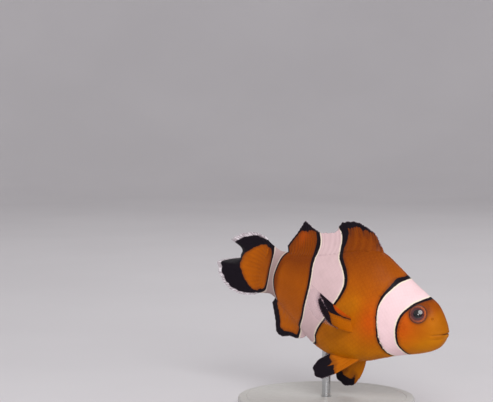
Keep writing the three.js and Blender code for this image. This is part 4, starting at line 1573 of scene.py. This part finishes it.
def eye_material(look):
    """A wet eye: black pupil, dark iris with a golden ring, and a dark rim."""
    finish = Finish("clownfish_eye")
    spokes = finish.noise(1.0, 3, finish.stretch(finish.vector("side"), SPOKE_SCALE))
    ring = finish.plus(finish.field("ring"), finish.wander(spokes, 0.14))
    pupil = look.pupil / MM
    gold_from = look.gold_start / MM
    gold_to = look.gold_end / MM
    colour = finish.mix(finish.ramp(ring, pupil - 0.05, pupil + 0.05), look.pupil_colour, look.iris)
    gold_inside = finish.ramp(ring, gold_to - 0.12, gold_to + 0.06, 1.0, 0.0)
    gold = finish.times(finish.ramp(ring, gold_from - 0.12, gold_from + 0.1), gold_inside)
    towards_snout = finish.ramp(finish.parts(finish.vector("side"))[0], -1.8, 1.4, 0.3, 1.0)
    flecks = finish.times(finish.clouds(1500, 3, 0.3, 0.7, 0.55, 1.0), towards_snout)
    colour = finish.mix(finish.times(gold, flecks), colour, look.gold)
    colour = finish.mix(finish.ramp(ring, gold_to - 0.02, gold_to + 0.16), colour, look.rim)
    finish.set(Base_Color=colour, Roughness=finish.ramp(spokes, 0.3, 0.7, 0.08, 0.16))
    finish.set(Coat_Weight=0.6, Coat_Roughness=0.03, IOR=1.36)
    finish.set(Normal=finish.bump(finish.noise(2600, 2), 0.00001, 0.2))
    return finish.material


def base_material(look):
    """A satin, faintly mottled casting for the base."""
    finish = Finish("stand_base_satin")
    colour = finish.mix(finish.clouds(60, 4, 0.3, 0.7, end=0.6), look.base_colour, look.base_shade)
    colour = finish.mix(finish.clouds(2400, 2, 0.62, 0.72, end=0.25), colour, look.base_speck)
    finish.set(Base_Color=colour, Roughness=finish.clouds(500, 3, 0.3, 0.7, 0.36, 0.48))
    finish.set(Normal=finish.bump(finish.noise(1800, 3), 0.00003, 0.5))
    return finish.material


def rod_material(look):
    """Steel brushed round the rod."""
    finish = Finish("stand_rod_brushed")
    brushed = finish.noise(1.0, 4, finish.stretch(finish.place, BRUSH_SCALE))
    finish.set(Base_Color=finish.mix(brushed, look.rod_colour, look.rod_shade), Metallic=1.0)
    finish.set(Roughness=finish.ramp(brushed, 0.25, 0.75, 0.24, 0.4))
    finish.set(Normal=finish.bump(brushed, 0.00002, 0.5))
    return finish.material


def floor_material(look):
    """A plain pale floor with a trace of unevenness."""
    finish = Finish("stage_floor")
    colour = finish.mix(finish.clouds(9, 3, 0.3, 0.7), look.floor_colour, look.floor_shade)
    finish.set(Base_Color=colour, Roughness=0.75)
    return finish.material


# ---- the stage -------------------------------------------------------------------------------------

UP = Vector((0, 0, 1))
MODEL_MIDDLE = Vector((0, 0, 0.03))
FLOOR_RISE = 0.3  # the radius of the floor's curve upwards

# Each light's distance, the shares of the camera's right, up and back in its direction from the model,
# where up is the world's, and its size.
LIGHTS = {
    "key": (0.62, (0.15, 0.55, 1), 0.35),
    "fill": (0.7, (-0.8, 0.4, 1), 1.2),
    "catch": (0.6, (-0.17, 0.19, 1), 0.05),
    "back": (0.6, (0.3, 1.3, -1), 0.4),
}


def view_axes(look):
    """The camera's directions to the right, up and back."""
    turn = look.azimuth
    rise = look.elevation
    rear = Vector((math.sin(turn) * math.cos(rise), -math.cos(turn) * math.cos(rise), math.sin(rise)))
    right = Vector((math.cos(turn), math.sin(turn), 0))
    return right, rear.cross(right), rear


def aim(thing, place, rear):
    """Sets a camera or light at a place, looking away from rear."""
    right = UP.cross(rear).normalized()
    axes = Matrix((right, rear.cross(right), rear)).transposed()
    thing.matrix_world = Matrix.Translation(place) @ axes.to_4x4()


def add_camera(scene, look):
    """A camera level with the fish and a little above it."""
    camera = put_in_scene("camera", bpy.data.cameras.new("camera"))
    camera.data.lens = look.lens
    camera.data.sensor_width = 36
    camera.data.clip_start = 0.01
    right, up, rear = view_axes(look)
    fish = Vector(FISH_PLACE * MM)
    aim(camera, fish - right * look.shift_left + up * look.shift_up + rear * look.distance, rear)
    scene.camera = camera


def add_lights(look):
    """Soft discs of light: a high key light, a wide fill, a glint for the eye and one behind."""
    right, _, rear = view_axes(look)
    for name, (away, shares, size) in LIGHTS.items():
        lamp = bpy.data.lights.new(name + "_light", "AREA")
        lamp.energy = getattr(look, name + "_power")
        lamp.size = size
        lamp.shape = "DISK"
        way = (right * shares[0] + UP * shares[1] + rear * shares[2]).normalized()
        aim(put_in_scene(lamp.name, lamp), MODEL_MIDDLE + way * away, way)


def add_sky(scene, look):
    """Even light from all round."""
    world = bpy.data.worlds.new("sky")
    world.use_nodes = True
    background = world.node_tree.nodes["Background"]
    background.inputs["Color"].default_value = (1.0, 0.98, 0.97, 1.0)
    background.inputs["Strength"].default_value = look.sky
    scene.world = world


def add_floor(look):
    """A pale floor that curves up far behind the model on every side."""
    radius = look.floor_radius
    profile = [[0, 0], [0.1, 0], [0.3, 0], [radius, 0]]
    for t in np.linspace(0, math.pi / 2, 14)[1:]:
        profile.append([radius + FLOOR_RISE * math.sin(t), FLOOR_RISE - FLOOR_RISE * math.cos(t)])
    profile.append([radius + FLOOR_RISE, FLOOR_RISE + 0.12])
    points, faces = lathe(profile, 128)
    points[:, 2] -= 0.05 * MM
    floor = mesh_from("stage_floor", points, [face[::-1] for face in faces], {})
    paint(floor, floor_material(look))


# ---- settings --------------------------------------------------------------------------------------


def number_setting(name, description, default, low=0.0, high=1000.0, **kind):
    """A number that a user may change."""
    return FloatProperty(name=name, description=description, default=default, min=low, max=high, **kind)


def length_setting(name, description, default):
    """A length that a user may change."""
    return number_setting(name, description, default, unit="LENGTH", subtype="DISTANCE", precision=5)


def angle_setting(name, description, degrees):
    """An angle that a user may change."""
    return number_setting(name, description, math.radians(degrees), 0.0, 2 * math.pi, subtype="ANGLE")


def count_setting(name, description, default, low, high):
    """A whole number that a user may change."""
    return IntProperty(name=name, description=description, default=default, min=low, max=high)


def colour_setting(name, description, default):
    """A colour that a user may change."""
    kind = {"size": 3, "subtype": "COLOR", "min": 0.0, "max": 1.0}
    return FloatVectorProperty(name=name, description=description, default=default, **kind)


class ClownfishSkinLook(bpy.types.PropertyGroup):
    """Sizes and colours of the skin and its markings."""

    coat_depth: length_setting("Coat depth", "How far the skin lies under the scales' surface", 0.12 * MM)
    rings: count_setting("Rings", "Rings of the body's skin", 290, 60, 340)
    around: count_setting("Points around", "Points in each ring", 208, 40, 260)
    edge_wander: length_setting("Edge wander", "How far a marking's edge wanders", 0.07 * MM)
    orange: colour_setting("Orange", "The cheek and flank", (0.55, 0.125, 0.001))
    # deep orange is partly the back's own colour and partly the colour of painted shade towards the tail
    deep_orange: colour_setting("Deep orange", "The back and the tail", (0.21, 0.036, 0.001))
    yellow_orange: colour_setting("Yellow orange", "The snout, throat and belly", (0.54, 0.176, 0.001))
    red_orange: colour_setting("Red orange", "Beside the gills", (0.6, 0.078, 0.002))
    ray_orange: colour_setting("Ray orange", "The rays of the fins", (0.5, 0.12, 0.004))
    dusk: colour_setting("Dusk", "The shade beside a black line", (0.1, 0.022, 0.008))
    white: colour_setting("White", "The bars", (0.88, 0.64, 0.665))
    # white shade is the colour of the painted shade on the bars
    white_shade: colour_setting("White shade", "The bars' darker parts, to the rear", (0.38, 0.27, 0.26))
    cream: colour_setting("Cream", "The bars' inner edges", (0.86, 0.76, 0.62))
    black: colour_setting("Black", "The bars' outlines and the fins' margins", (0.008, 0.005, 0.009))
    clear: colour_setting("Clear", "The rays in the fins' fringe", (0.82, 0.76, 0.80))
    # this colour is the painted shadow on the pectoral fin's clear web beside the black
    clear_shadow: colour_setting("Clear root", "The fringe where it leaves the black", (0.12, 0.07, 0.1))
    clear_web: colour_setting("Clear web", "The web in the fins' fringe", (0.42, 0.32, 0.36))
    # this colour is the painted shade in the mouth's line and the nostrils, and the eye's dark rim with shade
    # in its hollow
    mouth: colour_setting("Mouth", "The line of the mouth and the nostrils", (0.06, 0.022, 0.01))
    scale_edge: colour_setting("Scale edge", "The tint of the scales' free edges", (0.6, 0.45, 0.4))


class ClownfishScaleLook(bpy.types.PropertyGroup):
    """How the scales are laid."""

    rows: count_setting("Rows", "Rows of scales round the body", 48, 12, 80)
    spacing: number_setting("Spacing", "Distance between columns, in rows' breadths", 0.55, 0.3, 1.0)
    length: number_setting("Length", "Length of a scale, in rows' breadths", 1.45, 0.5, 3.0)
    width: number_setting("Width", "Width of a scale, in rows' breadths", 1.15, 0.5, 3.0)
    rise: length_setting("Rise", "How far a scale's free edge stands over the skin", 0.13 * MM)
    variation: number_setting("Size variation", "Share by which sizes differ", 0.05, 0.0, 0.5)
    turn: number_setting("Turn", "Most that a scale turns from its row", 0.05, 0.0, 1.0, subtype="ANGLE")
    seed: count_setting("Seed", "Start of the random sizes and turns", 7, 0, 999)


class ClownfishEyeLook(bpy.types.PropertyGroup):
    """Sizes and colours of the eyes."""

    pupil: length_setting("Pupil", "Radius of the pupil", 1.12 * MM)
    gold_start: length_setting("Gold start", "Inner radius of the golden ring", 1.68 * MM)
    gold_end: length_setting("Gold end", "Outer radius of the golden ring", 2.12 * MM)
    pupil_colour: colour_setting("Pupil colour", "The pupil", (0.004, 0.004, 0.006))
    iris: colour_setting("Iris", "The dark inner iris", (0.075, 0.016, 0.018))
    gold: colour_setting("Gold", "The golden ring", (0.5, 0.1, 0.008))
    rim: colour_setting("Rim", "The eye's dark rim", (0.07, 0.03, 0.008))


class ClownfishStandLook(bpy.types.PropertyGroup):
    """Sizes and colours of the stand."""

    edge_radius: length_setting("Edge radius", "Rounding of the base's edges", 0.6 * MM)
    groove: length_setting("Groove", "Depth of the turned groove", 0.12 * MM)
    base_colour: colour_setting("Base", "The base", (0.58, 0.57, 0.55))
    base_shade: colour_setting("Base shade", "Darker clouds in the base", (0.5, 0.49, 0.475))
    base_speck: colour_setting("Base speck", "Fine specks in the base", (0.36, 0.35, 0.34))
    rod_colour: colour_setting("Rod", "The rod", (0.6, 0.61, 0.62))
    rod_shade: colour_setting("Rod shade", "The rod's brush marks", (0.46, 0.47, 0.48))


class ClownfishStageLook(bpy.types.PropertyGroup):
    """The camera, floor and lights."""

    azimuth: angle_setting("Azimuth", "Turn of the camera about the model", 31)
    elevation: angle_setting("Elevation", "Rise of the camera", 4)
    distance: length_setting("Distance", "Distance from the camera to the fish", 0.45)
    shift_left: length_setting("Left of the fish", "How far the view passes the fish on its left", 29.46 * MM)
    shift_up: length_setting("Above the fish", "How far the view passes above the fish", 26.41 * MM)
    lens: number_setting("Lens", "Focal length in millimetres", 128.15, 10, 400)
    floor_radius: length_setting("Floor radius", "Where the floor starts to curve up", 0.8)
    floor_colour: colour_setting("Floor", "The floor", (0.7, 0.68, 0.71))
    floor_shade: colour_setting("Floor shade", "Faint clouds in the floor", (0.67, 0.65, 0.68))
    key_power: number_setting("Key light", "Power of the main light", 2.35)
    fill_power: number_setting("Fill light", "Power of the second light", 0.5)
    catch_power: number_setting("Catch light", "Power of the small light that glints in the eye", 0.22)
    back_power: number_setting("Back light", "Power of the light behind", 0.6)
    sky: number_setting("Sky", "Strength of the even light from all round", 0.5)


# ---- operators -------------------------------------------------------------------------------------

SHARP_SCALE = math.radians(50)
SHARP_STAND = math.radians(35)


class CLOWNFISH_OT_skin(bpy.types.Operator):
    """Make the skin of the body and fins as one mesh"""

    bl_idname = "clownfish.skin"
    bl_label = "Skin and fins"

    def execute(self, context):
        look = context.scene.clownfish_skin
        body = make_body_part(look.rings, look.around, look.coat_depth / MM)
        caudal = make_fin_part(caudal_blade, CAUDAL_LOOK)
        whole = join_parts([body, dorsal_part(), anal_part(), caudal, *paired_parts()])
        whole["fields"]["edge"] = np.zeros(len(whole["points"]))
        skin = make_mesh("fish_skin", to_model(whole["points"]), whole["quads"], whole["uv"], whole["fields"])
        paint(skin, skin_material(look))
        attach(skin, BODY)
        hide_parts("head", "lower_jaw", "gill_cover_right", "gill_cover_left", "trunk", "tail_stalk",
                    "dorsal_fin_spiny", "dorsal_fin_soft", "anal_fin", "caudal_fin", "pectoral_fin_right",
                    "pectoral_fin_left", "pelvic_fin_right", "pelvic_fin_left")
        return {"FINISHED"}


class CLOWNFISH_OT_scales(bpy.types.Operator):
    """Lay the scales over the skin"""

    bl_idname = "clownfish.scales"
    bl_label = "Scales"

    def execute(self, context):
        look = context.scene.clownfish_scales
        depth = context.scene.clownfish_skin.coat_depth / MM
        material = bpy.data.materials["clownfish_skin"]
        plate = make_plate()
        for name, right in (("fish_scales_right", True), ("fish_scales_left", False)):
            roots = scale_roots(look, right)
            mesh = lay_coat(name, roots, plate, look, material, look.seed + int(right))
            wrap_coat(mesh, look, depth)
            scales = add_object(name, mesh)
            paint(scales, material)
            mesh.set_sharp_from_angle(angle=SHARP_SCALE)
            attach(scales, BODY)
        bpy.data.objects.remove(plate)
        return {"FINISHED"}


class CLOWNFISH_OT_eyes(bpy.types.Operator):
    """Make both eyes"""

    bl_idname = "clownfish.eyes"
    bl_label = "Eyes"

    def execute(self, context):
        material = eye_material(context.scene.clownfish_eyes)
        for name, node, left in (("fish_eye_right", "eye_right", False), ("fish_eye_left", "eye_left", True)):
            eye = eye_piece(name, left)
            paint(eye, material)
            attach(eye, BODY)
            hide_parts(node)
        return {"FINISHED"}


class CLOWNFISH_OT_stand(bpy.types.Operator):
    """Make the turned base and the rod"""

    bl_idname = "clownfish.stand"
    bl_label = "Stand"

    def execute(self, context):
        look = context.scene.clownfish_stand
        base = (stand_base_profile(look), 160, base_material(look))
        rod = (stand_rod_profile(), 64, rod_material(look))
        pieces = (
            ("stand_base_turned", "stand_base", "base_grey", base),
            ("stand_rod_brushed", "stand_rod", "rod_steel", rod),
        )
        for name, node, slot, (profile, segments, material) in pieces:
            piece = mesh_from(name, *lathe(profile, segments), {})
            piece.data.set_sharp_from_angle(angle=SHARP_STAND)
            paint(piece, material)
            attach(piece, BODY)
            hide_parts(node)
        return {"FINISHED"}


class CLOWNFISH_OT_stage(bpy.types.Operator):
    """Set the floor, lights and camera"""

    bl_idname = "clownfish.stage"
    bl_label = "Stage"

    def execute(self, context):
        look = context.scene.clownfish_stage
        add_floor(look)
        add_camera(context.scene, look)
        add_lights(look)
        add_sky(context.scene, look)
        context.scene.view_settings.view_transform = "Standard"
        return {"FINISHED"}


# ---- the add-on ------------------------------------------------------------------------------------

OPERATORS = (
    CLOWNFISH_OT_skin,
    CLOWNFISH_OT_scales,
    CLOWNFISH_OT_eyes,
    CLOWNFISH_OT_stand,
    CLOWNFISH_OT_stage,
)
SETTINGS = {
    "clownfish_skin": ClownfishSkinLook,
    "clownfish_scales": ClownfishScaleLook,
    "clownfish_eyes": ClownfishEyeLook,
    "clownfish_stand": ClownfishStandLook,
    "clownfish_stage": ClownfishStageLook,
}


class CLOWNFISH_PT_panel(bpy.types.Panel):
    """The clownfish model's pieces and settings"""

    bl_label = "Clownfish"
    bl_idname = "CLOWNFISH_PT_panel"
    bl_space_type = "VIEW_3D"
    bl_region_type = "UI"
    bl_category = "Clownfish"

    def draw(self, context):
        for operator, setting in zip(OPERATORS, SETTINGS):
            box = self.layout.box()
            box.operator(operator.bl_idname)
            group = getattr(context.scene, setting)
            for name in group.bl_rna.properties.keys():
                if name not in ("rna_type", "name"):
                    box.prop(group, name)


def register():
    """Registers the settings, operators and panel."""
    for name, group in SETTINGS.items():
        bpy.utils.register_class(group)
        setattr(bpy.types.Scene, name, PointerProperty(type=group))
    for operator in OPERATORS:
        bpy.utils.register_class(operator)
    bpy.utils.register_class(CLOWNFISH_PT_panel)


def unregister():
    """Takes the settings, operators and panel away again."""
    bpy.utils.unregister_class(CLOWNFISH_PT_panel)
    for operator in reversed(OPERATORS):
        bpy.utils.unregister_class(operator)
    for name, group in SETTINGS.items():
        delattr(bpy.types.Scene, name)
        bpy.utils.unregister_class(group)


def main():
    """Makes every piece in order."""
    register()
    bpy.ops.clownfish.skin()
    bpy.ops.clownfish.scales()
    bpy.ops.clownfish.eyes()
    bpy.ops.clownfish.stand()
    bpy.ops.clownfish.stage()


if __name__ == "__main__":
    main()
